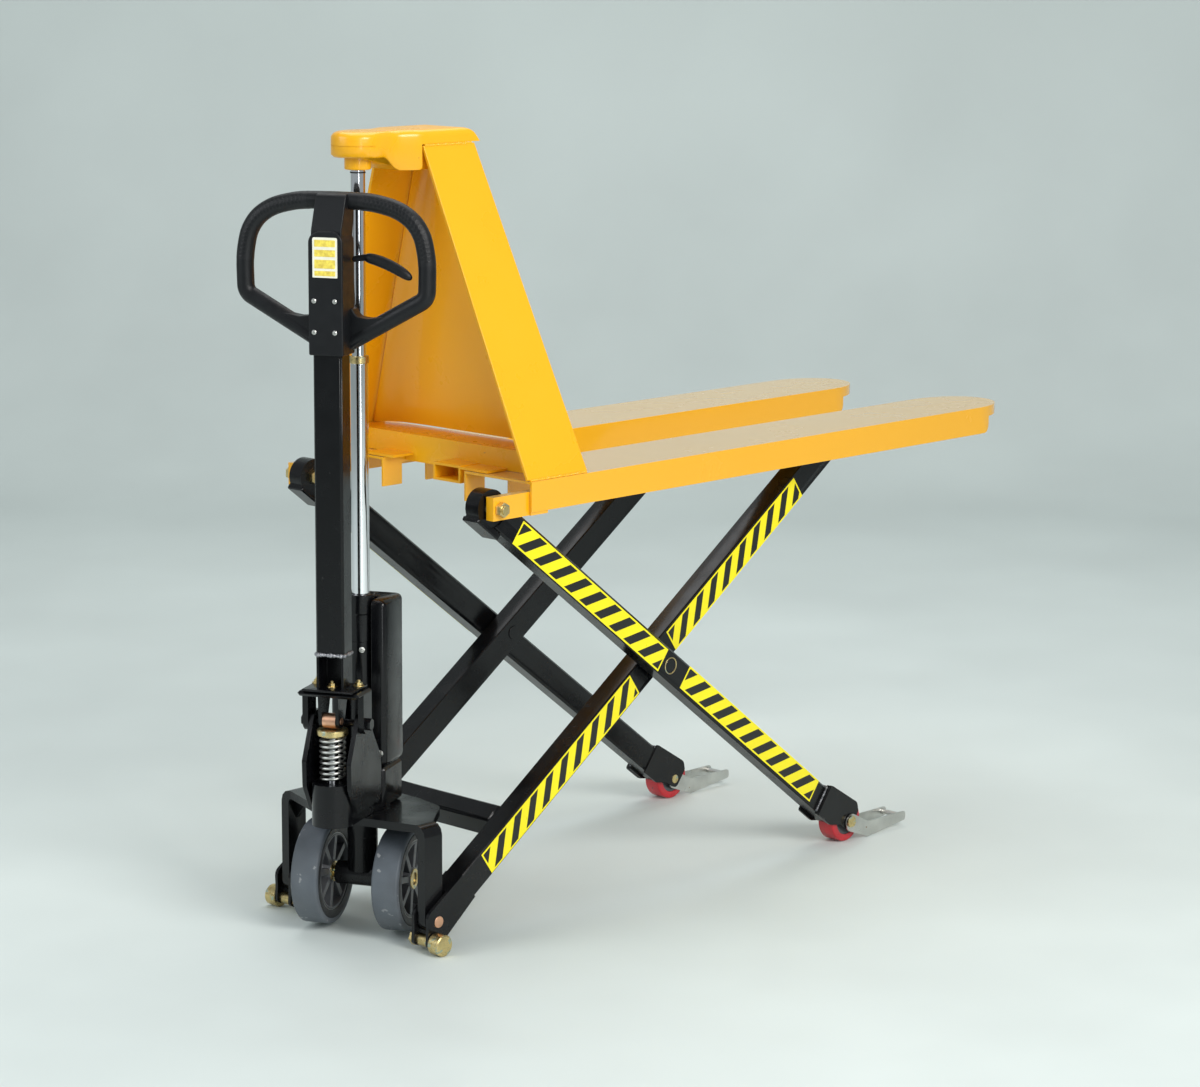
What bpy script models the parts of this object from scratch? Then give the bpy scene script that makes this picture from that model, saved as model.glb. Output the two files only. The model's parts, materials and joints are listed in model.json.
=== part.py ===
"""High-lift scissor pallet truck with its forks raised.

Lengths are in metres. +X runs forward along the forks, +Y to the left and +Z up. The floor is z = 0
and the origin lies under the middle of the truck. Every piece hangs on an empty that stands where
its own body turns or slides: the ram axis, the handle's pivot, the scissor's pins and so on.
"""
import math

import bmesh
import bpy
from mathutils import Matrix, Vector

# ---------------------------------------------------------------- driving dimensions
GAP = 0.0003                        # play between pieces that touch

REAR_REACH = 0.1721                 # the turned handle loop reaches this far behind the ram axis
FORK_TIP = 1.470                    # fork tips, ahead of the ram axis
STEER_REST = math.radians(25.75)    # the turret stands turned to the left

# scissor
LOW_PIN = Vector((-0.006, 0.0, 0.053))
INNER_ANGLE = math.radians(34.70)   # inner arms above the floor
OUTER_ANGLE = math.radians(37.36)   # outer arms below the horizontal
INNER_LOWER = 0.636                 # low pin to mid pivot
OUTER_UPPER = 0.5518                # mid pivot to top bolt
OUTER_LOWER = 0.618                 # mid pivot to load axle
ARM_HALF_DEPTH = 0.025
WALL = 0.004
INNER_ARM_Y = (0.153, 0.193)
OUTER_ARM_Y = (0.1975, 0.2355)

# forks
FORK_TOP = 0.788
FORK_BOTTOM = 0.737
FORK_REAR = 0.145
LOAD_START = 0.300                  # the loading face starts here, ahead of the mast's foot
MAST_SEAT_DROP = 0.0003             # behind it the fork is ground down a little under the mast
FORK_Y = (0.100, 0.260)
NOSE_START = 1.360                  # where the fork starts to round off
SKIRT_END = 1.395                   # the side skirts stop here, under the nose band

# mast: two leaning side plates and the panel between their front edges
MAST_TOP = 1.334
MAST_LEAN = 0.367                   # sideways travel per height
MAST_TOP_Y = 0.0555
MAST_REAR = (0.0946, 0.1408)        # rear edge at the top and at the bottom
MAST_FRONT = (0.2123, 0.2824)
MAST_SHEET = 0.006

# ram
ROD_RADIUS = 0.012
STAGE_RADIUS = 0.015
BARREL_RADIUS = 0.021
BORE_RADIUS = 0.0155
HEAD_BOTTOM = 1.295
ROD_PLAY = 0.0012                   # the fork frame sways 0.9 mm along X on its way down

# turret
WHEEL_RADIUS = 0.090
WHEEL_Y = (0.049, 0.097)
AXLE_HEIGHT = 0.096
AXLE_RADIUS = 0.010
PORTAL_Z = (0.203, 0.217)
LEG_Y = (0.162, 0.180)
BLOCK_Z = (0.2183, 0.290)
PLUNGER_X = -0.130
HANDLE_PIVOT = Vector((-0.110, 0.0, 0.388))
ROLLER_X = -0.135
ROLLER_Z = 0.3955
CAP_Z = (0.3695, 0.3815)             # spring cap, under the roller
LOOP_X = -0.100
LOOP_TUBE = 0.0145
LEVER_PIVOT = Vector((-0.105, -0.034, 1.158))

SIDES = ((1, "left"), (-1, "right"))

# ---------------------------------------------------------------- scene and materials
for thing in list(bpy.data.objects):
    bpy.data.objects.remove(thing, do_unlink=True)

parts = bpy.data.collections.new("scissor_lift_truck")
cutters = bpy.data.collections.new("cutters")
bpy.context.scene.collection.children.link(parts)
bpy.context.scene.collection.children.link(cutters)


def surface(name, colour, roughness, metallic=0.0):
    """Principled material of one colour."""
    material = bpy.data.materials.new(name)
    material.use_nodes = True
    shader = material.node_tree.nodes["Principled BSDF"]
    shader.inputs["Base Color"].default_value = (*colour, 1.0)
    shader.inputs["Roughness"].default_value = roughness
    shader.inputs["Metallic"].default_value = metallic
    return material


YELLOW = surface("yellow_paint", (0.91, 0.42, 0.012), 0.32)
BLACK = surface("black_paint", (0.012, 0.013, 0.015), 0.28)
PLASTIC = surface("black_plastic", (0.018, 0.019, 0.021), 0.55)
CHROME = surface("hard_chrome", (0.80, 0.80, 0.82), 0.12, 1.0)
ZINC = surface("yellow_zinc", (0.62, 0.52, 0.28), 0.33, 1.0)
COPPER = surface("copper_plate", (0.72, 0.42, 0.28), 0.35, 1.0)
BARE = surface("bright_zinc", (0.62, 0.63, 0.62), 0.35, 1.0)
TREAD = surface("grey_tyre", (0.090, 0.105, 0.130), 0.62)
HUB = surface("dark_hub", (0.10, 0.11, 0.12), 0.50)
RED = surface("red_polyurethane", (0.46, 0.022, 0.030), 0.38)


# ---------------------------------------------------------------- shape helpers
def anchor(name, parent, location, rotation=(0.0, 0.0, 0.0)):
    """Empty that carries one body's pieces."""
    empty = bpy.data.objects.new(name, None)
    empty.empty_display_size = 0.05
    empty.parent = parent
    empty.location = location
    empty.rotation_euler = rotation
    parts.objects.link(empty)
    return empty


def shape(mesh, frame, smooth=False):
    """Put a mesh on its frame, among the cutters until make() names it."""
    if smooth:
        mesh.shade_smooth()
        mesh.set_sharp_from_angle(angle=math.radians(35))
    piece = bpy.data.objects.new("shape", mesh)
    piece.parent = frame
    piece.hide_render = True
    piece.display_type = "WIRE"
    cutters.objects.link(piece)
    return piece


def make(name, piece, material):
    """Turn a shape into a named part."""
    cutters.objects.unlink(piece)
    parts.objects.link(piece)
    piece.name = name
    piece.hide_render = False
    piece.display_type = "TEXTURED"
    piece.data.materials.clear()
    piece.data.materials.append(material)
    return piece


def join(piece, *tools):
    for tool in tools:
        step = piece.modifiers.new("join", "BOOLEAN")
        step.operation = "UNION"
        step.object = tool
    return piece


def cut(piece, *tools):
    for tool in tools:
        step = piece.modifiers.new("cut", "BOOLEAN")
        step.operation = "DIFFERENCE"
        step.object = tool
    return piece


def bevel(piece, width, segments=1, angle=40):
    step = piece.modifiers.new("bevel", "BEVEL")
    step.width = width
    step.segments = segments
    step.limit_method = "ANGLE"
    step.angle_limit = math.radians(angle)
    return piece


def block(frame, low, high, round_by=0.0, segments=1):
    """Box between two corners."""
    low, high = Vector(low), Vector(high)
    form = bmesh.new()
    bmesh.ops.create_cube(form, size=1.0)
    place = Matrix.LocRotScale((low + high) / 2, None, high - low)
    bmesh.ops.transform(form, matrix=place, verts=form.verts)
    mesh = bpy.data.meshes.new("block")
    form.to_mesh(mesh)
    form.free()
    piece = shape(mesh, frame)
    return bevel(piece, round_by, segments) if round_by else piece


def rod(frame, start, end, radius, sides=24):
    """Cylinder between two points."""
    start, end = Vector(start), Vector(end)
    run = end - start
    form = bmesh.new()
    bmesh.ops.create_cone(form, cap_ends=True, segments=sides, radius1=radius, radius2=radius,
                          depth=run.length)
    turn = Vector((0, 0, 1)).rotation_difference(run)
    place = Matrix.LocRotScale((start + end) / 2, turn, None)
    bmesh.ops.transform(form, matrix=place, verts=form.verts)
    mesh = bpy.data.meshes.new("rod")
    form.to_mesh(mesh)
    form.free()
    return shape(mesh, frame, smooth=True)


def cross_rod(frame, x, z, y_from, y_to, radius, sides=24):
    """Cylinder along Y."""
    return rod(frame, (x, y_from, z), (x, y_to, z), radius, sides)


def rounded(corners, radius=0.0, steps=3):
    """Outline through (u, v) or (u, v, own radius) corners, each corner turned by an arc."""
    outline = []
    for index, corner in enumerate(corners):
        here = Vector(corner[:2])
        back = Vector(corners[index - 1][:2]) - here
        ahead = Vector(corners[(index + 1) % len(corners)][:2]) - here
        bend = corner[2] if len(corner) > 2 else radius
        if bend <= 0.0:
            outline.append(here)
            continue
        half = back.angle(ahead) / 2
        reach = min(bend / math.tan(half), 0.49 * back.length, 0.49 * ahead.length)
        bend = reach * math.tan(half)
        middle = (back.normalized() + ahead.normalized()).normalized()
        centre = here + middle * (bend / math.sin(half))
        first = here + back.normalized() * reach - centre
        last = here + ahead.normalized() * reach - centre
        sweep = first.angle_signed(last)
        for step in range(steps + 1):
            turn = Matrix.Rotation(-sweep * step / steps, 2)
            outline.append(centre + turn @ first)
    return outline


def extruded(frame, outline, thickness, place):
    """Flat outline given a thickness, half to each side, then placed by a matrix."""
    curve = bpy.data.curves.new("outline", "CURVE")
    curve.dimensions = "2D"
    curve.fill_mode = "BOTH"
    curve.extrude = thickness / 2
    line = curve.splines.new("POLY")
    line.points.add(len(outline) - 1)
    for point, (u, v) in zip(line.points, outline):
        point.co = (u, v, 0.0, 1.0)
    line.use_cyclic_u = True
    return shape(curve_to_mesh(curve, place), frame)


def curve_to_mesh(curve, place):
    """Closed mesh of a curve's evaluated form."""
    holder = bpy.data.objects.new("curve", curve)
    cutters.objects.link(holder)
    holder.matrix_world = place
    bpy.context.view_layer.update()
    graph = bpy.context.evaluated_depsgraph_get()
    mesh = bpy.data.meshes.new_from_object(holder.evaluated_get(graph))
    form = bmesh.new()
    form.from_mesh(mesh)
    bmesh.ops.remove_doubles(form, verts=form.verts, dist=0.00001)
    bmesh.ops.transform(form, matrix=holder.matrix_world, verts=form.verts)
    bmesh.ops.recalc_face_normals(form, faces=form.faces)
    form.to_mesh(mesh)
    form.free()
    bpy.data.objects.remove(holder, do_unlink=True)
    return mesh


def side_plate(frame, outline, y_from, y_to):
    """Outline in (x, z), thick along Y."""
    turn = Matrix.Translation((0, (y_from + y_to) / 2, 0)) @ Matrix.Rotation(math.pi / 2, 4, "X")
    return extruded(frame, outline, abs(y_to - y_from), turn)


def flat_plate(frame, outline, z_from, z_to):
    """Outline in (x, y), thick along Z."""
    return extruded(frame, outline, z_to - z_from, Matrix.Translation((0, 0, (z_from + z_to) / 2)))


def end_plate(frame, outline, x_from, x_to):
    """Outline in (y, z), thick along X."""
    axes = Matrix(((0, 0, 1, (x_from + x_to) / 2), (1, 0, 0, 0), (0, 1, 0, 0), (0, 0, 0, 1)))
    return extruded(frame, outline, x_to - x_from, axes)


def turned(frame, profile, sides=32, centre=(0.0, 0.0, 0.0), along_y=False):
    """Profile of (radius, height), top to bottom on the outer side, turned about its axis."""
    mesh = bpy.data.meshes.new("profile")
    points = [(radius, 0.0, height) for radius, height in profile]
    ring = [(i, (i + 1) % len(points)) for i in range(len(points))]
    edges = ring if min(radius for radius, _ in profile) > 0 else ring[:-1]
    mesh.from_pydata(points, edges, [])
    piece = shape(mesh, frame)
    piece.location = centre
    if along_y:
        piece.rotation_euler = (-math.pi / 2, 0.0, 0.0)
    screw = piece.modifiers.new("turn", "SCREW")
    screw.steps = sides
    screw.render_steps = sides
    screw.use_merge_vertices = True
    screw.merge_threshold = 0.00001
    screw.use_smooth_shade = True
    return piece


def pipe(frame, points, radius, closed=False, resolution=2):
    """Round bar along a path."""
    curve = bpy.data.curves.new("path", "CURVE")
    curve.dimensions = "3D"
    curve.bevel_depth = radius
    curve.bevel_resolution = resolution
    curve.use_fill_caps = True
    line = curve.splines.new("POLY")
    line.points.add(len(points) - 1)
    for point, place in zip(line.points, points):
        point.co = (*place, 1.0)
    line.use_cyclic_u = closed
    return shape(curve_to_mesh(curve, Matrix.Identity(4)), frame, smooth=True)


def mast_half_width(height):
    """Outer half width of the mast at a height."""
    return MAST_TOP_Y + MAST_LEAN * (MAST_TOP - height)


def mast_edge(edge, height):
    """X of the mast's rear or front edge at a height."""
    share = (MAST_TOP - height) / (MAST_TOP - FORK_TOP)
    return edge[0] + (edge[1] - edge[0]) * share


# ---------------------------------------------------------------- body frames
ram_axis = anchor("ram_axis", None, ((REAR_REACH - FORK_TIP) / 2, 0, 0))
turret = anchor("steer_axis", ram_axis, (0, 0, 0), (0, 0, STEER_REST))
inner = anchor("low_pin_axis", ram_axis, LOW_PIN, (0, -INNER_ANGLE, 0))
outer = anchor("mid_pivot_axis", inner, (INNER_LOWER, 0, 0), (0, INNER_ANGLE + OUTER_ANGLE, 0))
top_bolt_axis = Vector((
    LOW_PIN.x + INNER_LOWER * math.cos(INNER_ANGLE) - OUTER_UPPER * math.cos(OUTER_ANGLE), 0.0,
    LOW_PIN.z + INNER_LOWER * math.sin(INNER_ANGLE) + OUTER_UPPER * math.sin(OUTER_ANGLE)))
forks = anchor("fork_frame", ram_axis, (0, 0, 0))


# ---------------------------------------------------------------- chassis
def portal_frame():
    """Top plate whose ends bend down into two legs, with the steering bearing in its hole."""
    low, high = PORTAL_Z
    leg_in, leg_out = LEG_Y
    leg_rear, leg_front = -0.025, 0.015
    pin_z = LOW_PIN.z
    bow = [(leg_out, pin_z), (leg_out, high, 0.020), (-leg_out, high, 0.020), (-leg_out, pin_z),
           (-leg_in, pin_z), (-leg_in, low, 0.008), (leg_in, low, 0.008), (leg_in, pin_z)]
    frame = end_plate(ram_axis, rounded(bow), leg_rear, leg_front)
    half = [(leg_rear, 0.155), (-0.060, 0.050, 0.03), (-0.068, 0.0, 0.03)]
    front = [(0.100, 0.035, 0.03), (0.088, 0.100, 0.03), (leg_front, 0.158)]
    mirrored = [(x, -y, *rest) for x, y, *rest in reversed(half[:2])]
    mirrored_front = [(x, -y, *rest) for x, y, *rest in front[::-1]]
    outline = rounded(half + mirrored + mirrored_front + front)
    join(frame, flat_plate(ram_axis, outline, low, high))
    for side, _ in SIDES:
        join(frame, cross_rod(ram_axis, (leg_rear + leg_front) / 2, pin_z,
                              side * leg_in, side * leg_out, 0.020))
        gusset = [(side * (leg_in + 0.002), low + 0.002), (side * (leg_in + 0.002), low - 0.040),
                  (side * (leg_in - 0.034), low + 0.002)]
        join(frame, end_plate(ram_axis, gusset, -0.008, 0.000))
        cut(frame, cross_rod(ram_axis, LOW_PIN.x, pin_z, side * 0.14, side * 0.20, 0.0103))
    cut(frame, rod(ram_axis, (0, 0, 0.15), (0, 0, 0.25), 0.0325, 36))
    make("portal_frame", frame, BLACK)
    inside, outside = 0.026 + GAP, 0.0325 - GAP
    make("steer_bearing", turned(ram_axis, [(outside, high), (outside, low), (inside, low),
                                            (inside, high)], 36), COPPER)


# ---------------------------------------------------------------- turret
def pump_body():
    """Block over the portal plate, with the centre post and the wheel axle's boss under it."""
    low, high = BLOCK_Z
    nose = 0.0355
    outline = rounded([(PLUNGER_X - nose, nose, nose), (PLUNGER_X - nose, -nose, nose),
                       (0.045, -nose, 0.004), (0.045, nose, 0.004)], steps=6)
    body = flat_plate(turret, outline, low, high)
    join(body, block(turret, (-0.0185, -0.048, low), (0.066, 0.048, high - 0.001), 0.005))
    join(body, rod(turret, (0, 0, low - 0.001), (0, 0, low + 0.010), 0.047, 32))
    join(body, rod(turret, (0, 0, 0.105), (0, 0, low + 0.005), 0.026, 32))
    join(body, cross_rod(turret, 0, AXLE_HEIGHT, -0.045, 0.045, 0.020, 28))
    cut(body, rod(turret, (0, 0, 0.130), (0, 0, 0.35), BORE_RADIUS, 28))
    cut(body, cross_rod(turret, 0, AXLE_HEIGHT, -0.06, 0.06, AXLE_RADIUS + GAP, 24))
    cut(body, rod(turret, (PLUNGER_X, 0, 0.231), (PLUNGER_X, 0, 0.35), 0.0093, 24))
    make("pump_body", body, BLACK)


def ear_plates():
    """Plates on both sides of the block that carry the handle's pivot."""
    outline = rounded([(-0.090, 0.405, 0.010), (-0.118, 0.405, 0.012), (-0.159, 0.329, 0.008),
                       (-0.157, 0.285, 0.006), (-0.128, 0.238, 0.008), (-0.030, 0.238, 0.006),
                       (-0.023, 0.250, 0.004), (-0.023, 0.312, 0.006)])
    for side, label in SIDES:
        plate = side_plate(turret, outline, side * 0.0360, side * 0.0440)
        cut(plate, cross_rod(turret, HANDLE_PIVOT.x, HANDLE_PIVOT.z, side * 0.03, side * 0.05,
                             0.0063, 24))
        make(f"ear_plate_{label}", plate, BLACK)


def ram_parts():
    """Barrel, gland and first stage, all hollow and one inside the other."""
    make("ram_barrel", turned(turret, [(BARREL_RADIUS, 0.5047), (BARREL_RADIUS, 0.2903),
                                       (BORE_RADIUS, 0.2903), (BORE_RADIUS, 0.5047)]), BLACK)
    gland = [(0.0225, 0.585), (0.0235, 0.584), (0.0235, 0.553), (0.0215, 0.551), (0.0215, 0.505),
             (BORE_RADIUS, 0.505), (BORE_RADIUS, 0.585)]
    make("barrel_gland", turned(turret, gland, 28), BLACK)
    inside = ROD_RADIUS + ROD_PLAY
    tube = [(STAGE_RADIUS, 0.975), (STAGE_RADIUS, 0.525), (inside, 0.525), (inside, 0.975)]
    make("first_stage_tube", turned(turret, tube), CHROME)
    ring = [(0.0158, 0.987), (0.0165, 0.986), (0.0165, 0.9753), (inside, 0.9753), (inside, 0.987)]
    make("stage_ring", turned(turret, ring, 24), ZINC)


def oil_reservoir():
    """Tank in front of the barrel, with a slot that takes half of the barrel."""
    tank = block(turret, (-0.018, -0.050, 0.2903), (0.070, 0.050, 0.577), 0.010, 3)
    cut(tank, block(turret, (-0.05, -0.0240, 0.25), (0.024, 0.0240, 0.60)))
    make("oil_reservoir", tank, BLACK)


def steer_wheels():
    """Ribbed hubs with grey tyres on one through axle."""
    inside, outside = WHEEL_Y
    middle = (inside + outside) / 2
    half = (outside - inside) / 2
    rim = 0.066
    make("wheel_axle", cross_rod(turret, 0, AXLE_HEIGHT, -0.092, 0.092, AXLE_RADIUS, 24), ZINC)
    for side, label in SIDES:
        centre = (0, side * middle, AXLE_HEIGHT)
        hub_half = half - 0.0015
        bore = AXLE_RADIUS + GAP
        profile = [(rim, hub_half), (rim, -hub_half), (0.060, -hub_half), (0.058, -0.004),
                   (0.021, -0.004), (0.020, -hub_half), (bore, -hub_half), (bore, hub_half),
                   (0.020, hub_half), (0.021, 0.004), (0.058, 0.004), (0.060, hub_half)]
        hub = turned(turret, profile, 28, centre, along_y=True)
        for spoke in range(4):
            rib = block(turret, (-0.0590, -hub_half + 0.004, -0.0025), (0.0590, hub_half - 0.004, 0.0025))
            rib.location = centre
            rib.rotation_euler = (0, spoke * math.pi / 4, 0)
            join(hub, rib)
        cut(hub, cross_rod(turret, 0, AXLE_HEIGHT, side * 0.04, side * 0.11, bore, 28))
        make(f"steer_hub_{label}", hub, HUB)
        bead = rim + GAP
        shoulder = 0.005
        tyre = [(WHEEL_RADIUS - shoulder, half), (WHEEL_RADIUS, half - shoulder),
                (WHEEL_RADIUS, shoulder - half), (WHEEL_RADIUS - shoulder, -half),
                (bead, -half), (bead, half)]
        make(f"steer_tyre_{label}", turned(turret, tyre, 40, centre, along_y=True), TREAD)


def pump_parts():
    """Plunger with its cap, and the return spring round it."""
    make("plunger", rod(turret, (PLUNGER_X, 0, 0.262), (PLUNGER_X, 0, CAP_Z[0] - GAP), 0.009, 24), CHROME)
    low, high = CAP_Z
    cap = [(0.0, high), (0.024, high), (0.026, high - 0.002), (0.026, low + 0.002), (0.024, low),
           (0.0, low)]
    make("spring_cap", turned(turret, cap, 32, (PLUNGER_X, 0, 0)), ZINC)
    wire = 0.0024
    coil = 0.0206
    turns = 8
    per_turn = 11
    start = BLOCK_Z[1] + wire + GAP
    end = low - wire - GAP
    points = []
    for step in range(turns * per_turn + 1):
        angle = 2 * math.pi * step / per_turn
        height = start + (end - start) * step / (turns * per_turn)
        points.append((PLUNGER_X + coil * math.cos(angle), coil * math.sin(angle), height))
    make("pump_spring", pipe(turret, points, wire, resolution=1), BARE)


# ---------------------------------------------------------------- handle
def handle_yoke():
    """Fork on the ear plates; two cheeks inside it hold the copper roller."""
    yoke = block(turret, (-0.152, -0.0547, 0.437), (-0.088, 0.0547, 0.446), 0.004)
    leg = rounded([(-0.128, 0.4405), (-0.128, 0.371, 0.0175), (-0.092, 0.371, 0.0175), (-0.092, 0.4405)])
    cheek = rounded([(-0.150, 0.4405), (-0.146, 0.385, 0.010), (-0.124, 0.385, 0.010), (-0.106, 0.4405)])
    for side, _ in SIDES:
        join(yoke, side_plate(turret, leg, side * 0.0447, side * 0.0547))
        join(yoke, side_plate(turret, cheek, side * 0.0120, side * 0.0180))
    cut(yoke, cross_rod(turret, HANDLE_PIVOT.x, HANDLE_PIVOT.z, -0.08, 0.08, 0.0063, 24))
    cut(yoke, cross_rod(turret, ROLLER_X, ROLLER_Z, -0.03, 0.03, 0.0063, 24))
    make("handle_yoke", yoke, BLACK)
    bolt = cross_rod(turret, HANDLE_PIVOT.x, HANDLE_PIVOT.z, -0.062, 0.058, 0.0060, 24)
    for start, end in ((-0.062, -0.0551), (0.0551, 0.061)):
        join(bolt, cross_rod(turret, HANDLE_PIVOT.x, HANDLE_PIVOT.z, start, end, 0.0105, 6))
    make("handle_pivot_bolt", bolt, BLACK)
    roller = cross_rod(turret, ROLLER_X, ROLLER_Z, -0.0115, 0.0115, 0.013, 32)
    join(roller, cross_rod(turret, ROLLER_X, ROLLER_Z, -0.019, 0.019, 0.0060, 24))
    make("pump_roller", roller, COPPER)


def handle_shaft():
    """Channel bolted on the yoke, and the rectangular tube welded on top of it."""
    rear, front, top = -0.140, -0.100, 0.505
    channel = block(turret, (-0.155, -0.045, 0.4463), (-0.085, 0.045, 0.4505), 0.001)
    join(channel, block(turret, (front - 0.004, -0.024, 0.4495), (front, 0.024, top)))
    for side, _ in SIDES:
        low_y, high_y = sorted((side * 0.020, side * 0.024))
        join(channel, block(turret, (rear, low_y, 0.4495), (front - 0.001, high_y, top)))
    make("handle_channel", channel, BLACK)
    tube = block(turret, (rear, -0.025, top + GAP), (front, 0.025, 1.100), 0.003)
    cut(tube, block(turret, (rear + 0.003, -0.022, 0.45), (front - 0.003, 0.022, 1.15)))
    make("handle_tube", tube, BLACK)


def handle_head():
    """Moulded housing over the tube's end, in one piece with the loop that is held."""
    profile = rounded([(-0.145, 1.004, 0.002), (-0.145, 1.204, 0.014), (-0.124, 1.209, 0.004),
                       (-0.116, 1.262, 0.010), (-0.084, 1.262, 0.010), (-0.084, 1.190, 0.010),
                       (-0.092, 1.165, 0.010), (-0.092, 1.004, 0.002)])
    head = bevel(side_plate(turret, profile, -0.030, 0.030), 0.003, 1, 60)
    half = [(0.159, 1.238, 0.052), (0.158, 1.098, 0.030), (0.020, 1.0205)]
    corners = half + [(-y, z, *rest) for y, z, *rest in reversed(half)]
    loop = [(LOOP_X, y, z) for y, z in rounded(corners, steps=5)]
    loop.append((LOOP_X, -0.060, 1.2505))
    loop.append((LOOP_X, 0.060, 1.2505))
    join(head, pipe(turret, loop, LOOP_TUBE, closed=True))
    cut(head, block(turret, (-0.1404, -0.0254, 0.98), (-0.0996, 0.0254, 1.1004)))
    make("handle_head", head, PLASTIC)


def finger_lever():
    """Lowering lever beside the housing."""
    outline = rounded([(-0.0308, 1.1555), (-0.0308, 1.1605), (-0.036, 1.1665, 0.003),
                       (-0.048, 1.171, 0.010), (-0.095, 1.161, 0.03), (-0.139, 1.137, 0.006),
                       (-0.132, 1.122, 0.006), (-0.090, 1.143, 0.03), (-0.052, 1.152, 0.010),
                       (-0.036, 1.150, 0.003)])
    lever = end_plate(turret, outline, LEVER_PIVOT.x - 0.009, LEVER_PIVOT.x + 0.009)
    make("finger_lever", bevel(lever, 0.003, 1, 60), PLASTIC)


# ---------------------------------------------------------------- inner arms
def inner_arms():
    """Arm tubes with a clevis welded on the lower end, a cross tube, feet, pins and rollers."""
    roller_radius = 0.022
    roller_z = FORK_TOP - WALL - roller_radius - 0.0008
    roller_at = (roller_z - LOW_PIN.z) / math.sin(INNER_ANGLE)
    depth = ARM_HALF_DEPTH
    y_in, y_out = INNER_ARM_Y
    foot_x, foot_z = -0.0279, -0.0227
    arm_outline = rounded([(0.045, depth), (0.045, -depth), (roller_at + 0.018, -depth, 0.018),
                           (roller_at + 0.018, 0.0, 0.010), (roller_at - 0.006, 0.0225, 0.012),
                           (roller_at - 0.030, depth)])
    clevis = rounded([(0.085, 0.0255), (-0.012, 0.0265, 0.016), (-0.026, 0.004, 0.010),
                      (-0.0440, -0.0185, 0.008), (-0.0300, -0.0385, 0.010), (-0.006, -0.0345, 0.006),
                      (0.085, -0.0270)])
    for side, label in SIDES:
        arm = bevel(side_plate(inner, arm_outline, side * y_in, side * y_out), 0.004, 1, 50)
        cut(arm, block(inner, (0.058, min(side * (y_in + WALL), side * (y_out - WALL)), -depth + WALL),
                       (1.40, max(side * (y_in + WALL), side * (y_out - WALL)), depth - WALL)))
        join(arm, side_plate(inner, clevis, side * (y_in - GAP), side * 0.159))
        join(arm, side_plate(inner, clevis, side * 0.187, side * (y_out + GAP)))
        holes = ((0.0, 0.0, 0.0103), (foot_x, foot_z, 0.0108), (INNER_LOWER, 0.0, 0.0128),
                 (roller_at, 0.0, 0.0063))
        for x, z, radius in holes:
            cut(arm, cross_rod(inner, x, z, side * 0.14, side * 0.20, radius, 16))
        make(f"inner_arm_{label}", arm, BLACK)

        foot = cross_rod(inner, foot_x, foot_z, side * 0.142, side * 0.1955, 0.0105, 24)
        join(foot, cross_rod(inner, foot_x, foot_z, side * 0.142, side * 0.1523, 0.0125, 6))
        head = cross_rod(inner, foot_x, foot_z, side * 0.1936, side * 0.2180, 0.0185, 32)
        join(foot, bevel(head, 0.002))
        make(f"foot_{label}", foot, ZINC)
        make(f"low_pin_{label}", cross_rod(inner, 0, 0, side * 0.1515, side * 0.1943, 0.010), COPPER)

        pivot = cross_rod(inner, INNER_LOWER, 0, side * 0.1515, side * 0.2360, 0.0125, 28)
        join(pivot, cross_rod(inner, INNER_LOWER, 0, side * 0.1936, side * 0.1970, 0.019, 28))
        make(f"mid_pivot_pin_{label}", pivot, BLACK)

        roller = [(roller_radius, 0.0135), (roller_radius, -0.0135), (0.0063, -0.0135), (0.0063, 0.0135)]
        make(f"fork_roller_{label}",
             turned(inner, roller, 28, (roller_at, side * 0.1385, 0), along_y=True), BARE)
        make(f"roller_pin_{label}",
             cross_rod(inner, roller_at, 0, side * 0.1235, side * 0.1940, 0.006, 24), ZINC)

    reach = y_in - 2 * GAP
    tube = block(inner, (0.206, -reach, -depth), (0.244, reach, depth), 0.004)
    cut(tube, block(inner, (0.206 + WALL, -0.2, -depth + WALL), (0.244 - WALL, 0.2, depth - WALL)))
    make("cross_tube", tube, BLACK)


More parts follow.
